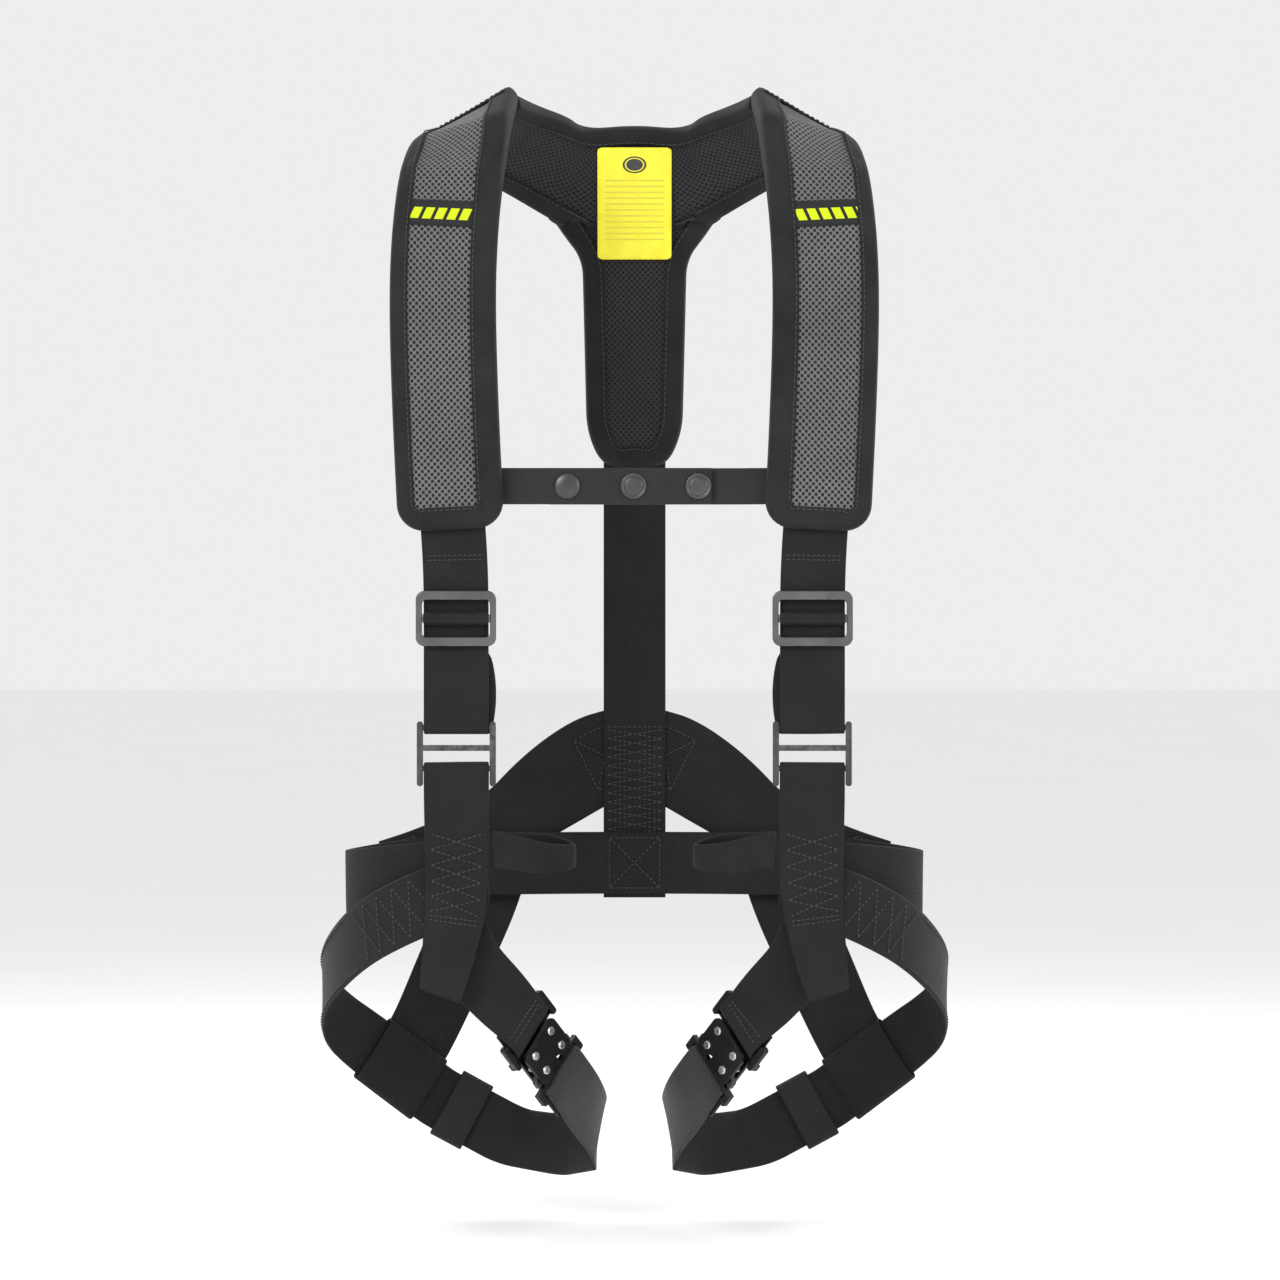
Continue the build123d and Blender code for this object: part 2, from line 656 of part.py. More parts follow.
def release_clip(side):
    """A lever on its rivet: hook beside the tongue, thumb tab outside the plates."""
    pivot = RIVETS_ALONG[1]
    outline = [
        (18.0, 6.6),
        (30.0, 7.6),
        (33.5, 12.0),
        (35.5, 18.0),
        (35.5, 23.0),
        (30.0, 23.0),
        (25.0, 15.5),
        (18.5, 9.4),
    ]
    with BuildPart() as clip:
        with BuildSketch(buckle.offset(-CLIP_THICK / 2)):
            with BuildLine():
                Polyline(*[(a, side * b) for a, b in outline], close=True)
            make_face()
            with Locations((pivot, side * RIVET_SIDE)):
                Circle(RIVET_RADIUS + CLEARANCE, mode=Mode.SUBTRACT)
        extrude(amount=CLIP_THICK)
    return clip.part


def springs():
    """A small coil spring behind each clip, as a plain plug of its outer size."""
    with BuildPart() as plugs:
        for side in (-1, 1):
            plane = Plane(
                origin=BUCKLE_AT + BUCKLE_ALONG * 20.5 + buckle_side * (side * 14.4),
                x_dir=BUCKLE_ALONG,
                z_dir=buckle_side * side,
            )
            with BuildSketch(plane):
                Circle(1.9)
            extrude(amount=4.5)
    return plugs.part


def tongue():
    """Barbed nose between the clips, and the bar that the leg web is sewn round."""
    rail = (FRAME_WIDE - WEB - 1.6) / 2
    rail_y = (FRAME_WIDE - rail) / 2
    low = -TONGUE_THICK / 2
    with BuildPart() as body:
        with BuildSketch(buckle.offset(low)):
            with BuildLine():
                Polyline((11, -3), (11, 3), (15, 5.4), (17, 5.4), (17, 4.2), (39, 4.2), (39, -4.2),
                         (17, -4.2), (17, -5.4), (15, -5.4), close=True)
            make_face()
            with Locations((38.9, 0)):
                Rectangle(2.4, FRAME_WIDE)
            with Locations((TONGUE_BAR - 1.5, -rail_y), (TONGUE_BAR - 1.5, rail_y)):
                RectangleRounded(11, rail, 1.5)
        extrude(amount=TONGUE_THICK)
        bar_face = Plane(
            origin=BUCKLE_AT + BUCKLE_ALONG * TONGUE_BAR - buckle_side * rail_y,
            x_dir=BUCKLE_ALONG,
            z_dir=buckle_side,
        )
        with BuildSketch(bar_face):
            Circle(TONGUE_THICK / 2)
        extrude(amount=2 * rail_y)
    return body.part


save_pair(base_plate(), "buckle_base_plate")
save_pair(cover_plate(), "buckle_cover_plate")
save_pair(rivets(), "buckle_rivets")
save_pair(release_clip(1), "release_clip_upper")
save_pair(release_clip(-1), "release_clip_lower")
save_pair(tongue(), "buckle_tongue")

left_springs = springs()
with BuildPart() as buckle_springs:
    add(left_springs)
    mirror(left_springs, about=Plane.YZ)
save(buckle_springs.part, "buckle_springs")
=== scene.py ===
import json
import math
import random

import bmesh
import bpy
import numpy as np
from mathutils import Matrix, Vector, noise
from mathutils.bvhtree import BVHTree
from mathutils.kdtree import KDTree

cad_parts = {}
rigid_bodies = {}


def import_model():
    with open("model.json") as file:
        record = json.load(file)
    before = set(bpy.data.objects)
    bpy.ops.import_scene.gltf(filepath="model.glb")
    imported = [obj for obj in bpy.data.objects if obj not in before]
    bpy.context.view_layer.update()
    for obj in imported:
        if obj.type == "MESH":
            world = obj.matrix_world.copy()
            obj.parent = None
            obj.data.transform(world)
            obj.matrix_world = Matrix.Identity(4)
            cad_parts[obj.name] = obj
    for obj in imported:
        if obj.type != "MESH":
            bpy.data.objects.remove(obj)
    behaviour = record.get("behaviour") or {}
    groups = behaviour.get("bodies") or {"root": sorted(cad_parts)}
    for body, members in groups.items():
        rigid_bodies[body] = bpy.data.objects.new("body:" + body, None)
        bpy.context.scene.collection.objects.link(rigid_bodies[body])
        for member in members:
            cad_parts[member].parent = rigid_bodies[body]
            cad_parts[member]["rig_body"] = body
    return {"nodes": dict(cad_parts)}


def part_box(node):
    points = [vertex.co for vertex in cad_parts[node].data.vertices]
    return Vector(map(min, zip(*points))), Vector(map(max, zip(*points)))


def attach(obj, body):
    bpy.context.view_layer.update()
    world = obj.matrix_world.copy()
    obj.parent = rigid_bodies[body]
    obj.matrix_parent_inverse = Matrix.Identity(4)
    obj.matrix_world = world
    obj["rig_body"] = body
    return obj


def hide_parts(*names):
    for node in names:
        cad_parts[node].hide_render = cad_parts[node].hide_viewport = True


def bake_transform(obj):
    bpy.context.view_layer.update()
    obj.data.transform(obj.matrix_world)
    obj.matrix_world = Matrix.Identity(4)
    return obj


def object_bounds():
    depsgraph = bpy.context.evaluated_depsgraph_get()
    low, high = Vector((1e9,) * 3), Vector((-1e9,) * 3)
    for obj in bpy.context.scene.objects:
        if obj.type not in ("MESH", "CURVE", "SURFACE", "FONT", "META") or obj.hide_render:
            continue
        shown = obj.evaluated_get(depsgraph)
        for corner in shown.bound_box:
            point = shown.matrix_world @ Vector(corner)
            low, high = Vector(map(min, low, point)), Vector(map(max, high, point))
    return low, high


for leftover in list(bpy.data.objects):
    bpy.data.objects.remove(leftover)
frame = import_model()
cad_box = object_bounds()
nodes = frame["nodes"]
random.seed(11)

SIDES = ("left", "right")
WEB = 0.0445  # width of the main webbing
WEB_THICK = 0.0021
PAD_WIDTH = 0.064
PAD_FACE = 0.0035  # from the middle of a pad's foam to its face
PAD_DEPTH = 0.0112  # from a pad's face to the back of its liner
FOOT_CORNER = 0.014  # radius of the pads' lower corners
TAPE_SHIFT = 0.0028  # the pads' tape is this much wider on the neck side, and narrower outside
STEM_LEVELS = (-0.075, -0.103, -0.225, -0.248)  # where the yoke's stem changes width
HIP_SEAM_TOP = -0.507  # height where the hip seam's stitching begins
KEEPER_TRAVEL = 0.024  # how far the keepers may slide: the web has no edge stitches there
BUCKLE_BAR = Vector((-0.073, -0.066, -0.645))  # middle of the left buckle's web bar
BUCKLE_ALONG = Vector((0.481, 0.545, -0.687)).normalized()  # from its web bar to its tongue
BUCKLE_OUT = Vector((0.545, -0.481, 0)).normalized()  # out of its cover plate
STITCH_LIFT = 0.0011  # thread lies this far from the middle of a web
FRONT = (0, -1, 0)
BACK = (0, 1, 0)


# ---- Materials


class Look:
    """A node material while it is put together. Cloth patterns read the metre-scaled UVs."""

    def __init__(self, name, **values):
        self.material = bpy.data.materials.new(name)
        self.material.use_nodes = True
        self.tree = self.material.node_tree
        self.shader = self.tree.nodes["Principled BSDF"]
        for socket, value in values.items():
            self.shader.inputs[socket.replace("_", " ")].default_value = value

    def node(self, kind, *inputs, **settings):
        made = self.tree.nodes.new("ShaderNode" + kind)
        for key, value in settings.items():
            setattr(made, key, value)
        for socket, value in zip(made.inputs, inputs):
            self.feed(socket, value)
        return made

    def feed(self, socket, value):
        if isinstance(value, bpy.types.NodeSocket):
            self.tree.links.new(value, socket)
        elif value is not None:
            socket.default_value = value

    def math(self, operation, *inputs):
        return self.node("Math", *inputs, operation=operation).outputs[0]

    def uv(self):
        """Metres across the cloth, and metres along it."""
        source = self.node("UVMap", uv_map="cloth").outputs[0]
        parts = self.node("SeparateXYZ", source)
        return parts.outputs[0], parts.outputs[1]

    def place(self):
        return self.node("TexCoord").outputs["Object"]

    def noise(self, scale, detail=3.0, rough=0.55, stretch=(1, 1, 1)):
        where = self.node("Mapping", self.place())
        where.inputs["Scale"].default_value = stretch
        made = self.node("TexNoise", where.outputs[0])
        made.inputs["Scale"].default_value = scale
        made.inputs["Detail"].default_value = detail
        made.inputs["Roughness"].default_value = rough
        return made.outputs[0]

    def range(self, value, low, high, to_low=0.0, to_high=1.0):
        made = self.node("MapRange", value, low, high, to_low, to_high)
        made.clamp = True
        return made.outputs[0]

    def wave(self, value, pitch, offset=0.0):
        """A sine of the given pitch in metres."""
        turned = self.math("MULTIPLY_ADD", value, 2 * math.pi / pitch, offset)
        return self.math("SINE", turned)

    def within(self, value, centre, half):
        """A mask of where a value lies near a centre."""
        off = self.math("ABSOLUTE", self.math("SUBTRACT", value, centre))
        return self.math("LESS_THAN", off, half)

    def mix(self, share, first, second):
        made = self.node("Mix", data_type="RGBA")
        self.feed(made.inputs[0], share)
        self.feed(made.inputs[6], first)
        self.feed(made.inputs[7], second)
        return made.outputs[2]

    def bump(self, height, distance, strength=1.0, under=None):
        made = self.node("Bump")
        made.inputs["Strength"].default_value = strength
        made.inputs["Distance"].default_value = distance
        self.feed(made.inputs["Height"], height)
        self.feed(made.inputs["Normal"], under)
        return made.outputs[0]

    def finish(self, colour, roughness, normal):
        self.feed(self.shader.inputs["Base Color"], colour)
        self.feed(self.shader.inputs["Roughness"], roughness)
        self.feed(self.shader.inputs["Normal"], normal)
        return self.material


def grey(value, tint=(1, 1, 1)):
    return (value * tint[0], value * tint[1], value * tint[2], 1)


def scaled(colour, share):
    return tuple(share * part for part in colour[:3]) + (1,)


def webbing_look(name, dark, light, column=0.0030, pick=0.0016, rough=0.48, shine=0.22):
    """Woven webbing: columns of chevrons, slight fading."""
    look = Look(name, Sheen_Weight=0.01, Sheen_Roughness=0.45, Specular_IOR_Level=shine)
    u, v = look.uv()
    share = look.math("FRACT", look.math("MULTIPLY", u, 1 / column))
    slope = look.math("ABSOLUTE", look.math("SUBTRACT", share, 0.5))
    skewed = look.math("MULTIPLY_ADD", slope, 1.7 * pick, v)
    thread = look.range(look.wave(skewed, pick), -1, 1)
    groove = look.range(slope, 0.36, 0.5, 1, 0.35)
    height = look.math("MULTIPLY", thread, groove)
    fade = look.noise(28, 4)
    fine = look.noise(420, 2)
    # The tone adds the weave's height to random fading: raised threads are painted lighter, a painted
    # highlight, and the grooves between columns painted darker, a painted shade.
    tone = look.math("MULTIPLY_ADD", fade, 0.6, look.math("MULTIPLY", height, 0.45))
    colour = look.mix(look.range(tone, 0.15, 0.95), dark, light)
    roughness = look.range(look.math("ADD", fade, fine), 0.6, 1.4, rough - 0.07, rough + 0.12)
    soft = look.bump(look.noise(60, 3), 0.0012, 0.35)
    normal = look.bump(height, 0.0005, 0.75, soft)
    return look.finish(colour, roughness, normal)


def mesh_look(name, thread, hole, pitch=0.0044, gloss=0.55):
    """Air mesh: a net of diamonds with dark holes between its threads."""
    look = Look(name, Sheen_Weight=0.05, Sheen_Roughness=0.5, Specular_IOR_Level=0.2)
    u, v = look.uv()
    columns = look.wave(u, pitch, math.pi / 2)
    lattice = look.math("MULTIPLY", columns, look.wave(v, pitch * 1.08, math.pi / 2))
    uneven = look.math("MULTIPLY_ADD", look.noise(160, 2), 0.35, lattice)
    holes = look.range(uneven, 0.20, 0.55)
    ridges = look.math("ABSOLUTE", look.wave(look.math("ADD", u, v), 0.0009))
    fade = look.noise(14, 3)
    lit = look.mix(look.range(fade, 0.3, 0.7), thread, scaled(thread, 0.72))
    # The threads are pulled a quarter of the way to the hole colour along fine diagonal ridges: painted
    # shade along the twisted threads.
    wear_and_ridge_shade = look.mix(look.math("MULTIPLY", ridges, 0.25), lit, hole)
    colour = look.mix(holes, wear_and_ridge_shade, hole)
    height = look.math("SUBTRACT", look.math("MULTIPLY", ridges, 0.12), holes)
    soft = look.bump(look.noise(45, 3), 0.0015, 0.3)
    return look.finish(colour, gloss, look.bump(height, 0.0011, 0.9, soft))


def tape_look(name, dark, light):
    """Folded binding tape: fine cross ribs."""
    look = Look(name, Sheen_Weight=0.04, Sheen_Roughness=0.5, Specular_IOR_Level=0.2)
    u, v = look.uv()
    ribs = look.range(look.wave(v, 0.0011), -1, 1)
    weave = look.math("MULTIPLY", ribs, look.range(look.wave(u, 0.0008), -1, 1, 0.6, 1))
    fade = look.noise(35, 4)
    colour = look.mix(look.range(fade, 0.3, 0.75), dark, light)
    roughness = look.range(fade, 0.2, 0.8, 0.6, 0.8)
    soft = look.bump(look.noise(110, 3), 0.0012, 0.45)
    return look.finish(colour, roughness, look.bump(weave, 0.0003, 0.7, soft))


def metal_look(name, dark, wear_and_ridge_shade, rough=0.36, metal=0.75):
    """Coated metal, rubbed bright along its edges."""
    look = Look(name, Metallic=metal, Coat_Weight=0.12, Coat_Roughness=0.3)
    edges = look.node("NewGeometry").outputs["Pointiness"]
    grain = look.noise(260, 5, 0.6)
    blotch = look.noise(40, 3)
    rub = look.math("MULTIPLY", look.range(edges, 0.54, 0.70), look.range(grain, 0.42, 0.62))
    patina = look.mix(look.range(blotch, 0.35, 0.7), dark, scaled(dark, 1.5))
    colour = look.mix(rub, patina, wear_and_ridge_shade)
    roughness = look.math("MULTIPLY_ADD", grain, 0.16, rough - 0.06)
    return look.finish(colour, roughness, look.bump(grain, 0.0002, 0.25))


def steel_look():
    look = Look("bright_steel", Metallic=1.0)
    lines = look.noise(300, 4, 0.6, (1, 1, 9))
    colour = look.mix(lines, (0.62, 0.62, 0.64, 1), (0.80, 0.80, 0.81, 1))
    return look.finish(colour, look.range(lines, 0.2, 0.8, 0.18, 0.34), look.bump(lines, 0.0001, 0.3))


def thread_look(name, colour):
    look = Look(name, Sheen_Weight=0.05, Specular_IOR_Level=0.3)
    twist = look.noise(1500, 2)
    tone = look.mix(twist, scaled(colour, 0.6), colour)
    return look.finish(tone, 0.55, look.bump(twist, 0.0003, 0.5))


def any_of(look, masks):
    """Where at least one of the masks is set."""
    total = masks[0]
    for mask in masks[1:]:
        total = look.math("MAXIMUM", total, mask)
    return total


def label_look():
    """Yellow coated label with a blank oval seal and rows of blank grey lines."""
    look = Look("label_coating", Coat_Weight=0.25, Coat_Roughness=0.35, Specular_IOR_Level=0.45)
    u, v = look.uv()
    seal_u = look.math("MULTIPLY", u, 1 / 0.0085)
    seal_v = look.math("MULTIPLY", look.math("SUBTRACT", v, 0.0125), 1 / 0.0062)
    seal = look.node("CombineXYZ", seal_u, seal_v, 0.0).outputs[0]
    radius = look.node("VectorMath", seal, operation="LENGTH").outputs["Value"]
    disc = look.math("LESS_THAN", radius, 1.0)
    ring = look.within(radius, 0.76, 0.06)
    rows = [look.within(v, 0.024 + 0.0043 * i, 0.0006) for i in range(11)]
    lines = look.math("MULTIPLY", any_of(look, rows), look.within(u, 0.0, 0.021))
    fade = look.noise(90, 4)
    creases = look.noise(22, 3, 0.5)
    base = look.mix(look.range(fade, 0.35, 0.7), (0.86, 0.76, 0.014, 1), (0.97, 0.88, 0.034, 1))
    ink = look.math("MULTIPLY", lines, look.range(fade, 0.35, 0.6, 0.25, 0.6))
    printed = look.mix(ink, base, (0.42, 0.38, 0.05, 1))
    sealed = look.mix(disc, printed, (0.03, 0.03, 0.025, 1))
    colour = look.mix(ring, sealed, (0.85, 0.74, 0.02, 1))
    roughness = look.range(creases, 0.2, 0.8, 0.35, 0.55)
    soft = look.bump(creases, 0.004, 0.35)
    return look.finish(colour, roughness, look.bump(look.noise(900, 2), 0.0002, 0.25, soft))


def patch_look(name, first, lean):
    """Black woven patch with a generic mark of six slanted bars in yellow-green thread."""
    look = Look(name, Sheen_Weight=0.04, Specular_IOR_Level=0.25)
    u, v = look.uv()
    warp = look.range(look.wave(u, 0.0007), -1, 1)
    weave = look.math("MULTIPLY", warp, look.range(look.wave(v, 0.0008), -1, 1))
    slanted = look.math("MULTIPLY_ADD", v, lean, u)
    bars = [look.within(slanted, first + 0.0085 * i, 0.0030) for i in range(6)]
    mark = look.math("MULTIPLY", any_of(look, bars), look.within(v, 0.010, 0.0042))
    thread = look.mix(weave, (0.50, 0.62, 0.0, 1), (0.76, 0.88, 0.02, 1))
    cloth = look.mix(weave, grey(0.010), grey(0.030, (1, 1, 1.06)))
    height = look.math("ADD", look.math("MULTIPLY", weave, 0.4), mark)
    return look.finish(look.mix(mark, cloth, thread), 0.7, look.bump(height, 0.0006, 0.7))


# Lighter colours of the webbing: faded patches, and the painted highlight on the raised threads of the
# weave.
WEB_FADE_AND_HIGHLIGHT = grey(0.027, (0.96, 1, 1.05))
SATIN = {"dark": grey(0.006), "light": grey(0.018, (0.96, 1, 1.04)), "column": 0.0022, "pick": 0.0013}

LOOKS = {
    "webbing": webbing_look("webbing_cloth", grey(0.009), WEB_FADE_AND_HIGHLIGHT, rough=0.56, shine=0.1),
    "satin": webbing_look("satin_webbing", **SATIN, rough=0.44, shine=0.2),
    "gloss": webbing_look("glossy_webbing", **SATIN, rough=0.36, shine=0.45),
    "chest": webbing_look("chest_webbing", grey(0.014), grey(0.036, (0.97, 1, 1.03)), 0.0021, 0.0012),
    "elastic": webbing_look("elastic_cloth", grey(0.006), grey(0.024), 0.0036, 0.0012),
    "pad": mesh_look("pad_air_mesh", grey(0.19, (0.98, 1, 1.02)), grey(0.012)),
    "yoke": mesh_look("yoke_air_mesh", grey(0.042, (1.08, 0.98, 1.10)), grey(0.005), 0.0040),
    "lining": mesh_look("lining_mesh", grey(0.022), grey(0.005), 0.0030),
    "tape": tape_look("binding_tape", grey(0.007), grey(0.019, (0.97, 1, 1.04))),
    "metal": metal_look("gunmetal", grey(0.040, (1, 1, 1.02)), grey(0.16)),
    "adjuster": metal_look("adjuster_metal", grey(0.085, (1, 1, 1.02)), grey(0.24), 0.32),
    "black_metal": metal_look("black_metal", grey(0.012, (1, 1, 1.04)), grey(0.12)),
    "snap": metal_look("snap_oxide", grey(0.050, (1, 1, 1.02)), grey(0.18), 0.34, 0.7),
    "steel": steel_look(),
    "thread": thread_look("dark_thread", grey(0.050, (1, 1, 1.03))),
    "label": label_look(),
    "patch_left": patch_look("patch_bars", -0.020, -0.35),
    "patch_right": patch_look("patch_bars_mirrored", -0.021, 0.35),
}

SLOTS = {name: "webbing" for name in ("webbing", "satin", "gloss", "chest", "thread")}
SLOTS |= {name: "dark_metal" for name in ("metal", "adjuster", "black_metal")}
SLOTS |= {"pad": "air_mesh", "yoke": "dark_mesh", "lining": "dark_mesh", "tape": "binding"}
SLOTS |= {"snap": "snap_metal", "patch_left": "patch", "patch_right": "patch"}
SLOTS |= {name: name for name in ("elastic", "steel", "label")}


# ---- Strap lines read from the CAD solids


def welded(node):
    mesh = bmesh.new()
    mesh.from_mesh(nodes[node].data)
    bmesh.ops.remove_doubles(mesh, verts=mesh.verts, dist=1e-6)
    mesh.normal_update()
    return mesh


def sharp_neighbours(mesh):
    """For each corner of the solid, the corners that a sharp edge joins it to."""
    joined = {}
    for edge in mesh.edges:
        if len(edge.link_faces) == 2 and edge.calc_face_angle(0) > math.radians(48):
            a, b = edge.verts
            joined.setdefault(a, []).append(b)
            joined.setdefault(b, []).append(a)
    return joined


def strap_corners(joined):
    return [v for v in joined if len(joined[v]) == 3]


def mates_of(joined, corner):
    """The other corners that a sharp edge joins to a corner, nearest first."""
    mates = [v for v in joined[corner] if len(joined[v]) == 3]
    return sorted(mates, key=lambda v: (v.co - corner.co).length)


def walk(joined, start, banned):
    """Along a long edge from one end of a strap until the edge forks."""
    line, before = [start.co.copy()], start
    here = next(v for v in joined[start] if v not in banned)
    while here is not None:
        line.append(here.co.copy())
        ahead = [v for v in joined.get(here, []) if v is not before]
        before, here = here, ahead[0] if len(ahead) == 1 else None
    return line


class Path:
    """A strap's surface line: matching left and right edges, from its first end to its last."""

    def __init__(self, left, right, normal_hint, closed=False):
        self.left = [Vector(p) for p in left]
        self.right = [Vector(p) for p in right]
        self.closed = closed
        self.settle(normal_hint)

    def settle(self, hint=None):
        count = len(self.left)
        self.centre = [(a + b) / 2 for a, b in zip(self.left, self.right)]
        self.across = [(b - a).normalized() for a, b in zip(self.left, self.right)]
        self.half = [(b - a).length / 2 for a, b in zip(self.left, self.right)]
        self.along, self.normal = [], []
        for i in range(count):
            if self.closed:
                step = self.centre[(i + 1) % count] - self.centre[i - 1]
            else:
                step = self.centre[min(i + 1, count - 1)] - self.centre[max(i - 1, 0)]
            self.along.append(step.normalized())
            self.normal.append(self.across[i].cross(self.along[i]).normalized())
        if hint is not None and self.normal[0].dot(hint) < 0:
            self.left, self.right = self.right, self.left
            self.settle()
            return
        self.run = [0.0]
        for i in range(1, count):
            self.run.append(self.run[-1] + (self.centre[i] - self.centre[i - 1]).length)
        self.length = self.run[-1]

    def smooth(self, cap=1.0, step=0.003):
        """Corners rounded as a quadratic curve, each within cap metres of its corner."""
        lines = []
        count = len(self.centre)
        caps = cap if isinstance(cap, list) else [cap] * count
        gaps = [(self.centre[(i + 1) % count] - self.centre[i]).length for i in range(count)]
        corners = range(count) if self.closed else range(1, count - 1)
        for line in (self.left, self.right):
            out = [] if self.closed else [line[0]]
            last_share = 0.0
            for i in corners:
                before, here, after = line[i - 1], line[i], line[(i + 1) % count]
                back = min(0.5, caps[i] / max(gaps[i - 1], 1e-9))
                ahead = min(0.5, caps[i] / max(gaps[i], 1e-9))
                straight = gaps[i - 1] * (1 - back - last_share)
                pieces = int(straight / step)
                enter = here.lerp(before, back)
                for k in range(1, pieces + 1):
                    share = last_share + (1 - back - last_share) * k / (pieces + 1)
                    out.append(before.lerp(here, share))
                leave = here.lerp(after, ahead)
                bend = gaps[i - 1] * back + gaps[i] * ahead
                cuts = max(2, int(bend / step))
                for k in range(cuts):
                    t = k / cuts
                    out.append(enter.lerp(here, t).lerp(here.lerp(leave, t), t))
                last_share = ahead
            if not self.closed:
                rest = gaps[count - 2] * (1 - last_share)
                pieces = max(1, int(rest / step))
                for k in range(pieces + 1):
                    share = last_share + (1 - last_share) * k / pieces
                    out.append(line[-2].lerp(line[-1], share))
            lines.append(out)
        hint = self.normal[0]
        return Path(lines[0], lines[1], hint, self.closed)

    def part(self, begin, end):
        """The stretch between two distances along the path."""
        keep = [i for i, run in enumerate(self.run) if begin <= run <= end]
        return Path([self.left[i] for i in keep], [self.right[i] for i in keep], self.normal[keep[0]])

    def at(self, u, v, lift=0.0):
        """A point u metres from the middle line and v metres along, and the frame there."""
        v = min(max(v, 0.0), self.length)
        i = int(np.searchsorted(self.run, v)) - 1
        i = min(max(i, 0), len(self.run) - 2)
        gap = self.run[i + 1] - self.run[i]
        t = (v - self.run[i]) / gap if gap > 1e-9 else 0.0
        across = self.across[i].lerp(self.across[i + 1], t).normalized()
        normal = self.normal[i].lerp(self.normal[i + 1], t).normalized()
        point = self.centre[i].lerp(self.centre[i + 1], t) + across * u + normal * lift
        return point, normal

    def aside(self, shift):
        """The same line moved along +X or -X, across the strap."""
        step = Vector((shift, 0, 0))
        return Path([p + step for p in self.left], [p + step for p in self.right], self.normal[0])

    def moved(self, lift):
        shift = [n * lift for n in self.normal]
        left = [p + s for p, s in zip(self.left, shift)]
        right = [p + s for p, s in zip(self.right, shift)]
        return Path(left, right, self.normal[0], self.closed)


def strap_path(node, wide=WEB, hint=None):
    """The middle surface of a strap's CAD solid. hint points out of the face that counts as its front."""
    mesh = welded(node)
    joined = sharp_neighbours(mesh)
    start = min(strap_corners(joined), key=lambda v: (-round(v.co.z, 4), v.co.x))
    mates = mates_of(joined, start)
    mate = min(mates, key=lambda v: abs((v.co - start.co).length - wide))
    inner = next(v for v in mates if v is not mate)
    inner_mate = next(v for v in mates_of(joined, mate) if v is not start)
    left = walk(joined, start, {mate, inner})
    right = walk(joined, mate, {start, inner_mate})
    count = min(len(left), len(right))
    through = start.co - inner.co
    path = Path(left[:count], right[:count], through).moved(-through.length / 2)
    mesh.free()
    return path if hint is None else Path(path.left, path.right, Vector(hint))


def ring_path(node, axis):
    """A closed loop of web that was extruded along an axis: its outer line, as a path."""
    mesh = welded(node)
    low = min(v.co[axis] for v in mesh.verts)
    high = max(v.co[axis] for v in mesh.verts)
    joined = sharp_neighbours(mesh)
    side = [v for v in joined if abs(v.co[axis] - low) < 1e-5]
    flat = {v: [w for w in joined[v] if abs(w.co[axis] - low) < 1e-5] for v in side}
    rings, seen = [], set()
    for first in sorted(flat, key=lambda v: tuple(v.co)):
        if first in seen:
            continue
        ring, here = [], first
        while here is not None and here not in seen:
            seen.add(here)
            ring.append(here.co.copy())
            here = next((w for w in flat[here] if w not in seen), None)
        rings.append(ring)
    outer = max(rings, key=lambda ring: sum((ring[i] - ring[i - 1]).length for i in range(len(ring))))
    middle = sum(outer, Vector()) / len(outer)
    far = [p.copy() for p in outer]
    for p in far:
        p[axis] = high
    mesh.free()
    return Path(outer, far, outer[0] - middle, closed=True)


# ---- Cloth pieces


def web_section(half, thick, columns=14):
    """Closed outline of a web: flat faces and rounded edges, as (across, out) pairs."""
    radius = thick / 2
    inner = half - radius
    top = [(-inner + 2 * inner * k / columns, radius) for k in range(columns + 1)]
    right = [(inner + radius * math.sin(a), radius * math.cos(a)) for a in (0.8, math.pi / 2, 2.34)]
    bottom = [(x, -radius) for x, _ in reversed(top)]
    left = [(-x, z) for x, z in reversed(right)]
    return top + right + bottom + left


def sweep(name, path, section_at, look, waver=0.0, seed=0):
    """A closed section carried along a path. UVs are metres across and along."""
    mesh = bmesh.new()
    layer = mesh.loops.layers.uv.new("cloth")
    rings, sections = [], []
    for i in range(len(path.centre)):
        section = section_at(i)
        sections.append(section)
        ring = []
        for x, out in section:
            drift = 0.0
            if waver:
                spot = Vector((x * 18 + seed * 7.3, path.run[i] * 14, seed * 3.1))
                drift = noise.noise(spot) * waver
            point = path.centre[i] + path.across[i] * x + path.normal[i] * (out + drift)
            ring.append(mesh.verts.new(point))
        rings.append(ring)
    count = len(rings)
    width = len(rings[0])
    spans = range(count) if path.closed else range(count - 1)
    for i in spans:
        j = (i + 1) % count
        far = path.run[j] if j else path.run[-1] + (path.centre[0] - path.centre[-1]).length
        for k in range(width):
            n = (k + 1) % width
            face = mesh.faces.new((rings[i][k], rings[i][n], rings[j][n], rings[j][k]))
            face.smooth = True
            values = ((sections[i][k][0], path.run[i]), (sections[i][n][0], path.run[i]))
            values += ((sections[j][n][0], far), (sections[j][k][0], far))
            for loop, value in zip(face.loops, values):
                loop[layer].uv = value
    if not path.closed:
        for i, ring in ((0, rings[0]), (count - 1, rings[-1])):
            face = mesh.faces.new(ring)
            for loop, point in zip(face.loops, sections[i]):
                loop[layer].uv = (point[0], path.run[i] + point[1])
    bmesh.ops.recalc_face_normals(mesh, faces=mesh.faces)
    return place(name, mesh, look)


def linked(name, data):
    obj = bpy.data.objects.new(name, data)
    bpy.context.scene.collection.objects.link(obj)
    return obj


def dressed(name, data, look):
    """A new piece with the given mesh data and look."""
    data.materials.clear()
    data.materials.append(LOOKS[look])
    obj = linked(name, data)
    obj["look"] = look
    return obj


def place(name, mesh, look):
    data = bpy.data.meshes.new(name)
    mesh.to_mesh(data)
    mesh.free()
    return dressed(name, data, look)


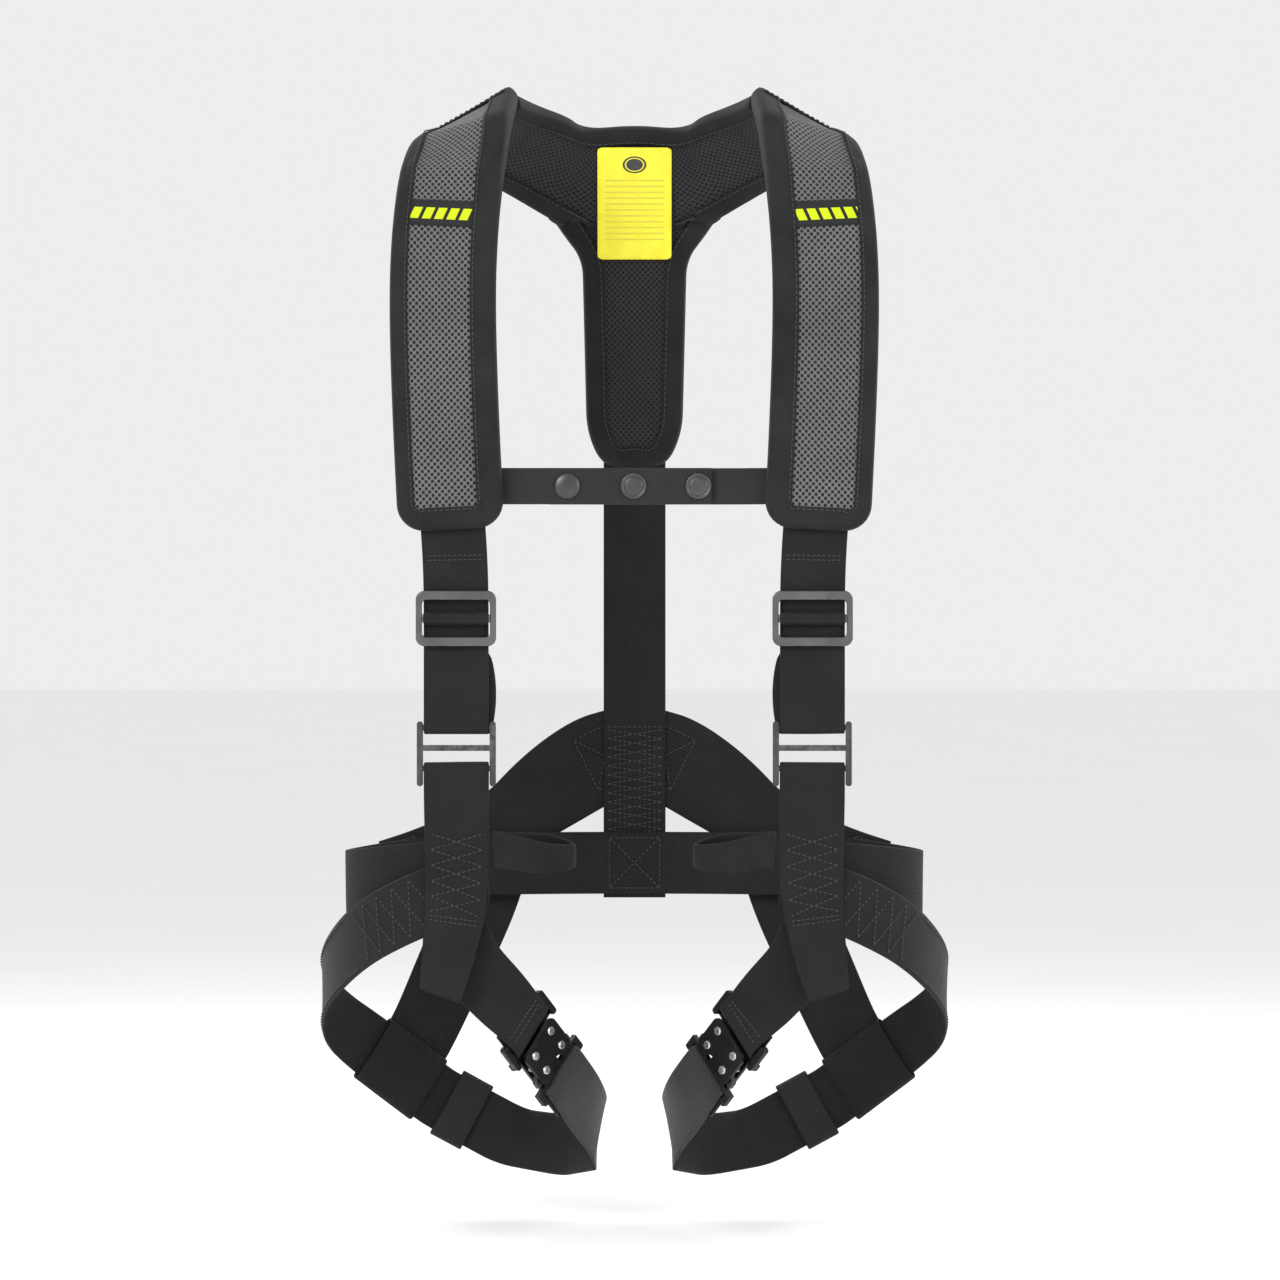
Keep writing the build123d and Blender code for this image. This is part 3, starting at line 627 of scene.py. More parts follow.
def apply_all(obj, modifiers):
    bpy.context.view_layer.objects.active = obj
    obj.select_set(True)
    for modifier in modifiers:
        bpy.ops.object.modifier_apply(modifier=modifier.name)
    obj.select_set(False)


def welding(obj):
    weld = obj.modifiers.new("weld", "WELD")
    weld.merge_threshold = 1e-5
    return weld


def bevelling(obj, width, segments, angle):
    bevel = obj.modifiers.new("bevel", "BEVEL")
    bevel.width = width
    bevel.segments = segments
    bevel.limit_method = "ANGLE"
    bevel.angle_limit = math.radians(angle)
    return bevel


def loft(mesh, rings):
    """Smooth faces between closed rings of points, and flat ends."""
    rings = [[mesh.verts.new(point) for point in ring] for ring in rings]
    for first, second in zip(rings, rings[1:]):
        for k in range(len(first)):
            n = (k + 1) % len(first)
            mesh.faces.new((first[k], first[n], second[n], second[k])).smooth = True
    mesh.faces.new(rings[0])
    mesh.faces.new(list(reversed(rings[-1])))


def circle(centre, first, second, radius, count):
    """Points of a circle in the plane of two directions."""
    angles = [2 * math.pi * k / count for k in range(count)]
    return [centre + (first * math.cos(a) + second * math.sin(a)) * radius for a in angles]


def fit_piece(obj, node=None):
    """Rides on the body of the CAD node that it stands for, or on the root."""
    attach(obj, nodes[node]["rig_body"] if node else "root")
    if node:
        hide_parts(node)
    return obj


def round_end(path, i, radius, half, round_start=True):
    """Half width at a station of a strap whose ends have rounded corners."""
    gap = path.length - path.run[i]
    if round_start:
        gap = min(gap, path.run[i])
    if gap >= radius:
        return half
    return half - radius + math.sqrt(max(radius**2 - (radius - gap) ** 2, 0.0))


def web(name, path, look="webbing", thick=WEB_THICK, waver=0.0007, round_by=0.0, round_start=True):
    """A length of web along a path, with square or rounded ends."""

    def section_at(i):
        half = path.half[i]
        if round_by:
            half = max(round_end(path, i, round_by, half, round_start), thick)
        return web_section(half, thick)

    return sweep(name, path, section_at, look, waver, random.random() * 50)


def declare_sheet(path):
    width = 2 * sum(path.half) / len(path.half)
    length = path.length
    if path.closed:
        length += (path.centre[0] - path.centre[-1]).length


def web_piece(name, node, path, held="stretched", rests_on=(), **shape):
    """A web that stands for a CAD node."""
    obj = fit_piece(web(name, path, **shape), node)
    declare_sheet(path)


# ---- Stitching


class Thread:
    """Stitches gathered into one mesh."""

    def __init__(self):
        self.mesh = bmesh.new()

    def stitch(self, start, end, out, radius=0.00045):
        """One stitch: a short arched bead of thread that dips into the cloth at both ends."""
        along = end - start
        side = along.cross(out).normalized()
        profile = ((0, -0.4, 0.5), (0.18, 0.5, 0.95), (0.5, 0.9, 1.0), (0.82, 0.5, 0.95), (1, -0.4, 0.5))
        rings = []
        for share, lift, size in profile:
            centre = start + along * share + out * (radius * lift)
            rings.append(circle(centre, side, out, radius * size, 6))
        loft(self.mesh, rings)

    def line(self, path, points, lift, pitch=0.0036, fill=0.72):
        """Stitches on a path's face, along a run of (across, along) points."""
        for (u0, v0), (u1, v1) in zip(points, points[1:]):
            length = math.hypot(u1 - u0, v1 - v0)
            count = max(1, round(length / pitch))
            for k in range(count):
                ends = []
                for t in ((k + 0.5 - fill / 2) / count, (k + 0.5 + fill / 2) / count):
                    point, normal = path.at(u0 + (u1 - u0) * t, v0 + (v1 - v0) * t, lift)
                    ends.append(point)
                self.stitch(ends[0], ends[1], normal * (1 if lift > 0 else -1))

    def rows(self, path, levels, half, faces=(1, -1), lift=STITCH_LIFT):
        """Straight rows across a web."""
        for face in faces:
            for v in levels:
                self.line(path, [(-half, v), (half, v)], face * lift)

    def box(self, path, lift, low, high, half):
        """A sewn box, with a cross through it."""
        corners = [(-half, low), (half, low), (half, high), (-half, high), (-half, low)]
        self.line(path, corners, lift)
        self.line(path, [(-half, low), (half, high)], lift)
        self.line(path, [(half, low), (-half, high)], lift)

    def zigzag(self, path, lift, low, high, half, pitch=0.011):
        """Two crossed zig-zags over a stretch of web, as on a load-bearing joint."""
        turns = max(2, round((high - low) / pitch))
        levels = np.linspace(low, high, turns + 1)
        for start in (0, 1):
            points = [(half if (k + start) % 2 else -half, v) for k, v in enumerate(levels)]
            self.line(path, points, lift)

    def done(self, name, body="root"):
        obj = place(name, self.mesh, "thread")
        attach(obj, body)
        return obj


def edge_rows(thread, path, lift, begin, end, inset=0.003):
    """A row of stitches along each edge of a web."""
    steps = max(1, int((end - begin) / 0.02))
    for side in (-1, 1):
        points = []
        for k in range(steps + 1):
            v = begin + (end - begin) * k / steps
            i = min(int(np.searchsorted(path.run, v)), len(path.half) - 1)
            points.append((side * (path.half[i] - inset), v))
        thread.line(path, points, lift)


# ---- Padded pieces


def sharp_points(node, spacing=0.003):
    """Points along the solid's sharp edges, where a pad's cover is sewn down."""
    mesh = welded(node)
    found = []
    for edge in mesh.edges:
        if len(edge.link_faces) == 2 and edge.calc_face_angle(0) > math.radians(60):
            a, b = edge.verts[0].co, edge.verts[1].co
            count = max(1, int((b - a).length / spacing))
            found += [a.lerp(b, k / count) for k in range(count + 1)]
    mesh.free()
    return search_tree(found)


def tag_uv(obj, where):
    """UVs in metres from a function of place."""
    layer = obj.data.uv_layers.get("cloth") or obj.data.uv_layers.new(name="cloth")
    spots = [where(v.co) for v in obj.data.vertices]
    for loop in obj.data.loops:
        layer.data[loop.index].uv = spots[loop.vertex_index]


def search_tree(points):
    tree = KDTree(len(points))
    for i, point in enumerate(points):
        tree.insert(point, i)
    tree.balance()
    return tree


def path_uv(path):
    """Place to (across, along) on a path, by its nearest station."""
    tree = search_tree(path.centre)

    def where(co):
        _, i, _ = tree.find(co)
        off = co - path.centre[i]
        return off.dot(path.across[i]), path.run[i] + off.dot(path.along[i])

    return where


def puff(name, node, look, where, trim=None, voxel=0.0026, held_within=0.004, swell=0.0028, pressure=4.0):
    """A foam pad: the solid is remeshed, swells under cloth pressure, and stays sewn at its rim."""
    obj = dressed(name, nodes[node].data.copy(), look)
    weld = welding(obj)
    remesh = obj.modifiers.new("remesh", "REMESH")
    remesh.mode = "VOXEL"
    remesh.voxel_size = voxel
    ease = obj.modifiers.new("ease", "SMOOTH")
    ease.factor = 0.5
    ease.iterations = 4
    apply_all(obj, (weld, remesh, ease))
    if trim:
        for v in obj.data.vertices:
            v.co = trim(v.co)
    rim = sharp_points(node)
    start = [v.co.copy() for v in obj.data.vertices]
    reach = [rim.find(co)[2] for co in start]
    group = obj.vertex_groups.new(name="sewn")
    for i, distance in enumerate(reach):
        group.add([i], max(0.0, min(1.0, 1.6 - distance / held_within)), "REPLACE")
    cloth = obj.modifiers.new("cloth", "CLOTH")
    cloth.settings.vertex_group_mass = "sewn"
    cloth.settings.use_pressure = True
    cloth.settings.uniform_pressure_force = pressure
    cloth.settings.effector_weights.gravity = 0
    cloth.settings.quality = 4
    cloth.settings.tension_stiffness = 20
    cloth.settings.bending_stiffness = 2
    cloth.point_cache.frame_end = 14
    scene = bpy.context.scene
    for step in range(1, 15):
        scene.frame_set(step)
    apply_all(obj, (cloth,))
    scene.frame_set(1)
    for v, co in zip(obj.data.vertices, start):
        step = v.co - co
        if step.length > swell:
            v.co = co + step * (swell / step.length)
    obj.data.shade_smooth()
    tag_uv(obj, where)
    return obj


def surface_of(obj):
    return BVHTree.FromObject(obj, bpy.context.evaluated_depsgraph_get())


# ---- Shoulders: webs, pads, liners, bindings and patches


def face_lift(surface, point, normal):
    """How far a swollen face stands above a point, along the normal."""
    above = 0.02
    distance = surface.ray_cast(point + normal * above, -normal, 0.03)[3]
    return 0.0 if distance is None else max(above - distance, 0.0)


def rim_path(spots):
    """A line round a pad: spots are (point on the face's edge, direction out of the pad)."""
    left = [point - out * 0.01 for point, out in spots]
    right = [point + out * 0.01 for point, out in spots]
    return Path(left, right, None)


def fold_tape(name, rim, out, facing, surface, under=PAD_DEPTH, reach=0.0105, seed=0, wider=None):
    """Binding tape folded over a pad's edge: on to the swollen face, and back beneath the liner.

    wider points to the side of the pad where the tape covers more of the face.
    """
    middle = len(rim.centre) // 2
    if rim.normal[middle].dot(facing) < 0:
        rim = Path(rim.right, rim.left, None)
    side = 1 if rim.across[middle].dot(out) > 0 else -1
    thick, outside = 0.0011, 0.0034
    reaches = [reach] * len(rim.centre)
    if wider:
        reaches = [reach + TAPE_SHIFT * side * across.dot(wider) for across in rim.across]

    def rise(i, x):
        spot = rim.centre[i] + rim.across[i] * side * x
        return face_lift(surface, spot, rim.normal[i]) + 0.0003

    def section_at(i):
        reach = reaches[i]
        face = [(-reach * share, rise(i, -reach * share)) for share in (1.0, 0.86, 0.6, 0.35, 0.12)]
        top, bottom = face[-1][1], -under
        centre, half = (top + bottom) / 2, (top - bottom) / 2
        bend = [math.pi * (0.5 - k / 6) for k in range(7)]
        outer = [(face[0][0] - 0.0002, face[0][1] + 0.0004)]
        outer += [(x, lift + thick) for x, lift in face]
        bulge = [max(math.cos(a), 0.0) ** 0.7 for a in bend]
        rise_to = [math.sin(a) for a in bend]
        outer += [((outside + thick) * x, centre + (half + thick) * z) for x, z in zip(bulge, rise_to)]
        outer += [(-reach * 0.6, bottom - thick), (-reach * 1.3, bottom - thick * 0.8)]
        inner = [(-reach * 1.3, bottom), (-reach * 0.6, bottom)]
        inner += [(outside * x, centre + half * z) for x, z in reversed(list(zip(bulge, rise_to)))]
        inner += list(reversed(face))
        return [(side * x, lift) for x, lift in outer + inner]

    tape = fit_piece(sweep(name, rim, section_at, "tape", 0.0003, seed))
    rows = Thread()
    count = int(rim.length / 0.004)
    for k in range(count):
        ends = []
        for share in (0.14, 0.86):
            run = rim.length * (k + share) / count
            i = min(int(np.searchsorted(rim.run, run)), len(rim.run) - 1)
            inset = 0.0017 - reaches[i]
            ends.append(rim.at(side * inset, run, rise(i, inset) + thick + 0.0002))
        rows.stitch(ends[0][0], ends[1][0], ends[0][1])
    rows.done(name.replace("tape", "stitches"))
    return tape


def round_foot(path, corner):
    """Pulls a square pad's corners in to rounded ones."""
    where = path_uv(path)

    def trim(co):
        u, v = where(co)
        du = abs(u) - (PAD_WIDTH / 2 - corner)
        dv = v - (path.length - corner)
        if du <= 0 or dv <= 0 or math.hypot(du, dv) <= corner:
            return co
        pull = 1 - corner / math.hypot(du, dv)
        out = path.across[-1] * math.copysign(du, u) + path.along[-1] * dv
        return co - out * pull

    return trim


def foot_rim(path, corner, face):
    """Down one side of a pad, round its foot and up the other side."""
    half = PAD_WIDTH / 2
    low = path.length - corner
    plan = [(half, v, 1, 0) for v in np.arange(0, low, 0.004)]
    for k in range(9):
        a = math.pi / 2 * k / 8
        du, dv = math.cos(a), math.sin(a)
        plan.append((half - corner + corner * du, low + corner * dv, du, dv))
    plan += [(u, path.length, 0, 1) for u in np.arange(half - corner - 0.004, 0.003, -0.004)]
    plan.append((0, path.length, 0, 1))
    plan += [(-u, v, -du, dv) for u, v, du, dv in reversed(plan[:-1])]
    spots = []
    step = 0.001
    for u, v, du, dv in plan:
        outer = path.at(u + du * step, v + dv * step, face)[0]
        inner = path.at(u - du * step, v - dv * step, face)[0]
        spots.append((path.at(u, v, face)[0], (outer - inner).normalized()))
    return spots


LINING = {"look": "lining", "thick": 0.0015, "round_by": FOOT_CORNER, "round_start": False}
PATCH = {"half": 0.0232, "thick": 0.0008, "gap": 0.0003}


def shoulder(side):
    """One shoulder pad, its lining, the tape round its edge, and the patch sewn across it."""
    pad_line = strap_path(f"shoulder_pad_{side}", PAD_WIDTH).smooth()
    liner_line = strap_path(f"pad_liner_{side}", PAD_WIDTH).smooth()
    trim = round_foot(pad_line, FOOT_CORNER)
    pad = puff(f"shoulder_pad_cover_{side}", f"shoulder_pad_{side}", "pad", path_uv(pad_line), trim)
    fit_piece(pad, f"shoulder_pad_{side}")
    under = [f"shoulder_web_{side}"]
    web_piece(f"pad_lining_{side}", f"pad_liner_{side}", liner_line, rests_on=under, **LINING)

    surface = surface_of(pad)
    spots = foot_rim(pad_line, FOOT_CORNER, PAD_FACE)
    rim = rim_path(spots)
    out = spots[len(spots) // 2][1]
    inward = Vector((1 if side == "left" else -1, 0, 0))
    facing = pad_line.normal[-1]
    tape = fold_tape(f"pad_tape_{side}", rim, out, facing, surface, seed=len(side), wider=inward)
    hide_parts(f"pad_binding_{side}")
    up = -pad_line.along[0]
    across = np.linspace(-PAD_WIDTH / 2, PAD_WIDTH / 2, 17)
    seam = rim_path([(pad_line.at(u, 0.001, PAD_FACE)[0], up) for u in across])
    top = pad_line.normal[0]
    fold_tape(f"pad_tape_{side}_top", seam, up, top, surface, under=0.0088, reach=0.008, seed=9)

    low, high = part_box(f"pad_patch_{side}")
    middle = (low + high) / 2
    nearest = min(range(len(pad_line.centre)), key=lambda i: (pad_line.centre[i] - middle).length)
    above, tall = 0.0105, 0.0215
    begin = pad_line.run[nearest] - above
    patch_line = pad_line.part(begin, begin + tall).aside(-TAPE_SHIFT * inward.x)
    patch = lay_on(f"patch_{side}", patch_line, surface, look=f"patch_{side}", **PATCH)
    fit_piece(patch, f"pad_patch_{side}")


def lay_on(name, path, surface, half, thick, gap, look, round_by=0.0):
    """A thin patch that follows the swollen pad beneath it."""

    def section_at(i):
        wide = max(round_end(path, i, round_by, half), thick) if round_by else half
        section = []
        for x, out in web_section(wide, thick, 18):
            point = path.centre[i] + path.across[i] * x
            section.append((x, face_lift(surface, point, path.normal[i]) + gap + out))
        return section

    return sweep(name, path, section_at, look)


def slack_return(path, shift):
    """The web that comes back up behind lies a little to one side between its two bars."""
    lowest = min(range(len(path.centre)), key=lambda i: path.centre[i].z)
    for i in range(lowest, len(path.centre)):
        share = (path.run[i] - path.run[lowest]) / (path.length - path.run[lowest])
        aside = Vector((shift * math.sin(math.pi * share) ** 0.6, 0, 0))
        path.left[i] += aside
        path.right[i] += aside
    return Path(path.left, path.right, path.normal[0])


for side in SIDES:
    shoulder(side)

for side, inward in (("left", 0.005), ("right", -0.005)):
    line = slack_return(strap_path(f"shoulder_web_{side}").smooth(0.03), inward)
    web_piece(f"front_web_{side}", f"shoulder_web_{side}", line, rests_on=[f"three_bar_slide_{side}"])
    pad_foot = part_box(f"pad_binding_{side}")[0].z
    first = next(v for v, c in zip(line.run, line.centre) if c.z < pad_foot)
    face = 1 if line.at(0, first)[1].y < 0 else -1
    sewn = Thread()
    sewn.rows(line, (first + 0.016, first + 0.019), half=0.019, faces=(face,), lift=0.00105)
    sewn.done(f"front_web_stitches_{side}")


# ---- Yoke: the pad on the body's side, its cover outside, and tape round its outline


def yoke_edge():
    """The neck edge of both arms, from the binding's upper strip: its pad side and free side."""
    mesh = welded("yoke_binding")
    joined = sharp_neighbours(mesh)
    start = min(strap_corners(joined), key=lambda v: (v.co.x, v.co.z))
    mate, deep = mates_of(joined, start)[:2]
    mate_deep = mates_of(joined, mate)[1]
    lines = [walk(joined, start, {mate, deep}), walk(joined, mate, {start, mate_deep})]
    depth = deep.co - start.co
    mesh.free()
    count = min(len(line) for line in lines)
    lines = [line[:count] for line in lines]
    middle = count // 2
    lines.sort(key=lambda line: line[middle].z)
    edge = Path(lines[0], lines[1], (0, 0, 0))
    if edge.normal[middle].y > 0:
        edge.normal = [-n for n in edge.normal]
    lift = depth.dot(edge.normal[0])
    if lift > 0:
        lines = [[p + n * lift for p, n in zip(line, edge.normal)] for line in lines]
    return lines[0], lines[1]


def yoke_outlines():
    """The neck edge, and the edge from under one arm round the stem to the other arm."""
    neck, free = yoke_edge()
    out = [(b - a).normalized() for a, b in zip(neck, free)]
    half = [i for i, point in enumerate(neck) if point.x < 0.002]
    neck = [neck[i] for i in half]
    out = [out[i] for i in half]
    neck[-1].x = 0
    out[-1].x = 0
    under = [(point - up * PAD_WIDTH, -up) for point, up in zip(neck, out) if point.x < -0.03]
    pad = welded("yoke_pad")
    stem = []
    for level in STEM_LEVELS:
        ring = [v.co for v in pad.verts if abs(v.co.z - level) < 0.0012]
        edge = min(co.x for co in ring)
        stem.append(Vector((edge, min(co.y for co in ring if co.x < edge + 0.001), level)))
    pad.free()
    mirror = Vector((-1, 1, 1))
    top = list(zip(neck, out))
    top += [(point * mirror, up * mirror) for point, up in reversed(top[:-1])]
    side, down = Vector((-1, 0, 0)), Vector((0, 0, -1))
    slant = (side + down).normalized()
    outer = under + [(stem[0], slant)] + [(point, side) for point in stem[1:-1]] + [(stem[-1], slant)]
    outer.append((Vector((0, stem[-1].y, stem[-1].z)), down))
    outer += [(point * mirror, away * mirror) for point, away in reversed(outer[:-1])]
    return top, outer


LABEL = {"half": 0.0265, "thick": 0.0008, "gap": 0.0009, "look": "label", "round_by": 0.003}


def yoke():
    """The yoke's pad with its tape, the cover outside it, and the label sewn on it."""
    top, outer = yoke_outlines()
    arm = Path([point - up * PAD_WIDTH for point, up in top], [point for point, _ in top], FRONT)
    where_arm = path_uv(arm.smooth())

    def where(co):
        return (co.x, -co.z) if co.z < -0.080 else where_arm(co)

    pad = puff("yoke_pad_cover", "yoke_pad", "yoke", where, swell=0.0022)
    fit_piece(pad, "yoke_pad")
    surface = surface_of(pad)
    front = Vector(FRONT)
    neck = rim_path(top).smooth(0.012)
    fold_tape("yoke_tape_neck", neck, top[len(top) // 2][1], front, surface, reach=0.0072, seed=5)
    outline = rim_path(outer).smooth(0.012)
    down = Vector((0, 0, -1))
    tape = fold_tape("yoke_tape_outline", outline, down, front, surface, seed=6)
    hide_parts("yoke_binding")

    cover = soften("yoke_cover_cloth", "yoke_cover", "lining", 0.0006)
    tag_uv(cover, where)
    fit_piece(cover, "yoke_cover")

    label_line = strap_path("care_label", 0.053, FRONT).smooth(1.0, 0.0012)
    label = lay_on("label_sheet", label_line, surface, **LABEL)
    fit_piece(label, "care_label")


def soften(name, node, look, radius):
    """A thin sewn solid with its edges rounded over."""
    obj = dressed(name, nodes[node].data.copy(), look)
    apply_all(obj, (welding(obj), bevelling(obj, radius, 3, 40)))
    obj.data.shade_smooth()
    return obj


yoke()


# ---- Plain runs of web


def flared(path):
    """The back straps spread near the back web: the top edge bulges before it drops to the hip."""
    for line, other in ((path.left, path.right), (path.right, path.left)):
        for i, rise in ((1, 0.009), (2, 0.011)):
            top = line[i].z > other[i].z
            line[i] += Vector((0, 0, rise if top else -0.25 * rise))
    return Path(path.left, path.right, path.normal[0])


def tucked(path):
    """The lower corner of a leg web's end turns back a little, so its fold ends in a round tip."""
    edge = path.left if path.left[-1].z < path.right[-1].z else path.right
    edge[-1] += Vector((math.copysign(0.008, edge[-1].x), 0, -0.005))
    return Path(path.left, path.right, path.normal[0])


def strap(name, node, cap=1.0, wide=WEB, hint=None, look="webbing", lift=0.0, round_by=0.0, shape=None):
    """A plain run of web in place of a strap's CAD solid."""
    line = strap_path(node, wide, hint)
    line = (shape(line) if shape else line).smooth(cap)
    if lift:
        line = line.moved(lift)
    web_piece(name, node, line, look=look, round_by=round_by)
    return line


back_line = strap("back_web_strap", "back_web", hint=FRONT)
sewn = Thread()
low = back_line.length * 0.735  # where the load-bearing stitching begins
for lift in (STITCH_LIFT, -STITCH_LIFT):
    sewn.zigzag(back_line, lift, low, low + 0.078, half=0.0195, pitch=0.0065)
sewn.rows(back_line, (low - 0.002,), half=0.0195)
sewn.done("back_web_stitches")

belt_line = strap("waist_belt_strap", "waist_belt", hint=FRONT)
sewn = Thread()
middle = belt_line.length / 2
for lift in (STITCH_LIFT, -STITCH_LIFT):
    for end in (0.004, belt_line.length - 0.030):
        sewn.box(belt_line, lift, end, end + 0.026, half=0.018)
    sewn.box(belt_line, lift, middle - 0.018, middle + 0.018, half=0.018)
sewn.done("belt_stitches")

dorsal_line = strap("dorsal_patch_web", "dorsal_patch", wide=0.0565, hint=BACK, round_by=0.003)
sewn = Thread()
sewn.box(dorsal_line, STITCH_LIFT, 0.003, dorsal_line.length - 0.003, half=0.0245)
sewn.done("dorsal_stitches")


def outline_ring(line, place_at, half_tall, half_deep, corner, turns=5):
    """Points of a rounded rectangle round a web, at one distance along it."""
    points = []
    for cx, cy, start in ((1, 1, 0), (-1, 1, 90), (-1, -1, 180), (1, -1, 270)):
        for k in range(turns + 1):
            a = math.radians(start + 90 * k / turns)
            u = cx * (half_tall - corner) + corner * math.cos(a)
            lift = cy * (half_deep - corner) + corner * math.sin(a)
            points.append(line.at(u, place_at, lift)[0])
    return points


KEEPER_BAND = {"half_tall": 0.0247, "half_deep": 0.0036, "thick": 0.0018, "look": "elastic"}
RISER_HEM = {"half_tall": 0.02425, "half_deep": 0.0026, "thick": 0.0019, "look": "webbing"}


def wrap_band(name, node, line, begin, end, half_tall, half_deep, thick, look):
    """A band of web sewn into a flat loop round another web."""
    corner = min(half_deep, 0.0024)
    first = outline_ring(line, begin, half_tall, half_deep, corner)
    last = outline_ring(line, end, half_tall, half_deep, corner)
    middle = line.at(0, (begin + end) / 2)[0]
    loop = Path(first, last, first[0] - middle, closed=True)
    web_piece(name, node, loop, look=look, thick=thick, waver=0.0003)


def reach_along(node, line, near=0.030):
    """Where a CAD node begins and ends along a strap."""
    where = path_uv(line)
    tree = search_tree(line.centre)
    runs = [where(v.co)[1] for v in nodes[node].data.vertices if tree.find(v.co)[2] < near]
    return min(runs), max(runs)


def round_bar(path, bar, along, out, radius=0.0033, approach=0.010, tail=0.018):
    """Cuts a strap where it stops running true, takes it round a buckle's bar and back inside."""
    true = 1
    while true < len(path.half) and abs(path.half[true] - path.half[0]) < 0.0002:
        true += 1
    reach = out.cross(along) * path.half[0]
    if reach.dot(path.across[true - 1]) < 0:
        reach = -reach
    turn = [out * math.cos(a) + along * math.sin(a) for a in np.linspace(0, math.pi, 9)]
    middle = [bar + spoke * radius for spoke in turn]
    middle = [middle[0] - along * approach] + middle + [middle[-1] - along * tail]
    left = path.left[:true] + [point - reach for point in middle]
    right = path.right[:true] + [point + reach for point in middle]
    return Path(left, right, path.normal[0])


def to_fold(path, rear):
    """Carries the front of a leg web on to the end of its rear, which closes the fold between them."""
    low, high = sorted((rear.left[-1], rear.right[-1]), key=lambda p: p.z)
    left_is_low = path.left[-1].z < path.right[-1].z
    left = path.left + [low if left_is_low else high]
    right = path.right + [high if left_is_low else low]
    return Path(left, right, path.normal[0])


def on_to_hem(riser, rear, begin, end, sign):
    """Carries a riser strap down over the outside of the hem that wraps the leg web."""
    foot = riser.centre[-1]
    out = 0.0047 if rear.at(0, (begin + end) / 2)[1].dot(Vector((sign, 0.8, 0))) > 0 else -0.0047
    near_high = (rear.at(0.02, begin)[0] - foot).length < (rear.at(-0.02, begin)[0] - foot).length
    to_begin = (riser.left[-1] - rear.at(0, begin)[0]).length
    left_first = to_begin < (riser.left[-1] - rear.at(0, end)[0]).length
    lefts, rights = list(riser.left), list(riser.right)
    for u in (0.021, -0.010):
        height = u if near_high else -u
        first = rear.at(height, begin + 0.001, out)[0]
        last = rear.at(height, end - 0.001, out)[0]
        lefts.append(first if left_first else last)
        rights.append(last if left_first else first)
    return Path(lefts, rights, Vector((sign * 0.3, 1, 0))).smooth(0.03)


def twisted(loop, way):
    """A sewn loop of web that leans over towards its tip, its mouth a little open."""
    ends = sorted(way * p.x for p in loop.centre)
    depths = [p.y for p in loop.centre]
    middle, deep = (min(depths) + max(depths)) / 2, (max(depths) - min(depths)) / 2
    left, right = [], []
    for i, point in enumerate(loop.centre):
        out = (way * point.x - ends[0]) / (ends[-1] - ends[0])
        lean = 0.75 * out**1.5
        flat = Vector((0, -1, 0)) * math.sin(lean) + Vector((0, 0, 1)) * math.cos(lean)
        half = loop.half[i] * (1 - 0.12 * out)
        behind = (point.y - middle) / deep
        drop = Vector((0, 0, 0.004)) * (behind * math.sin(math.pi * out) - out)
        near = -1 if loop.across[i].z > 0 else 1
        left.append(point + drop + flat * half * near)
        right.append(point + drop - flat * half * near)
    return Path(left, right, None, closed=True)


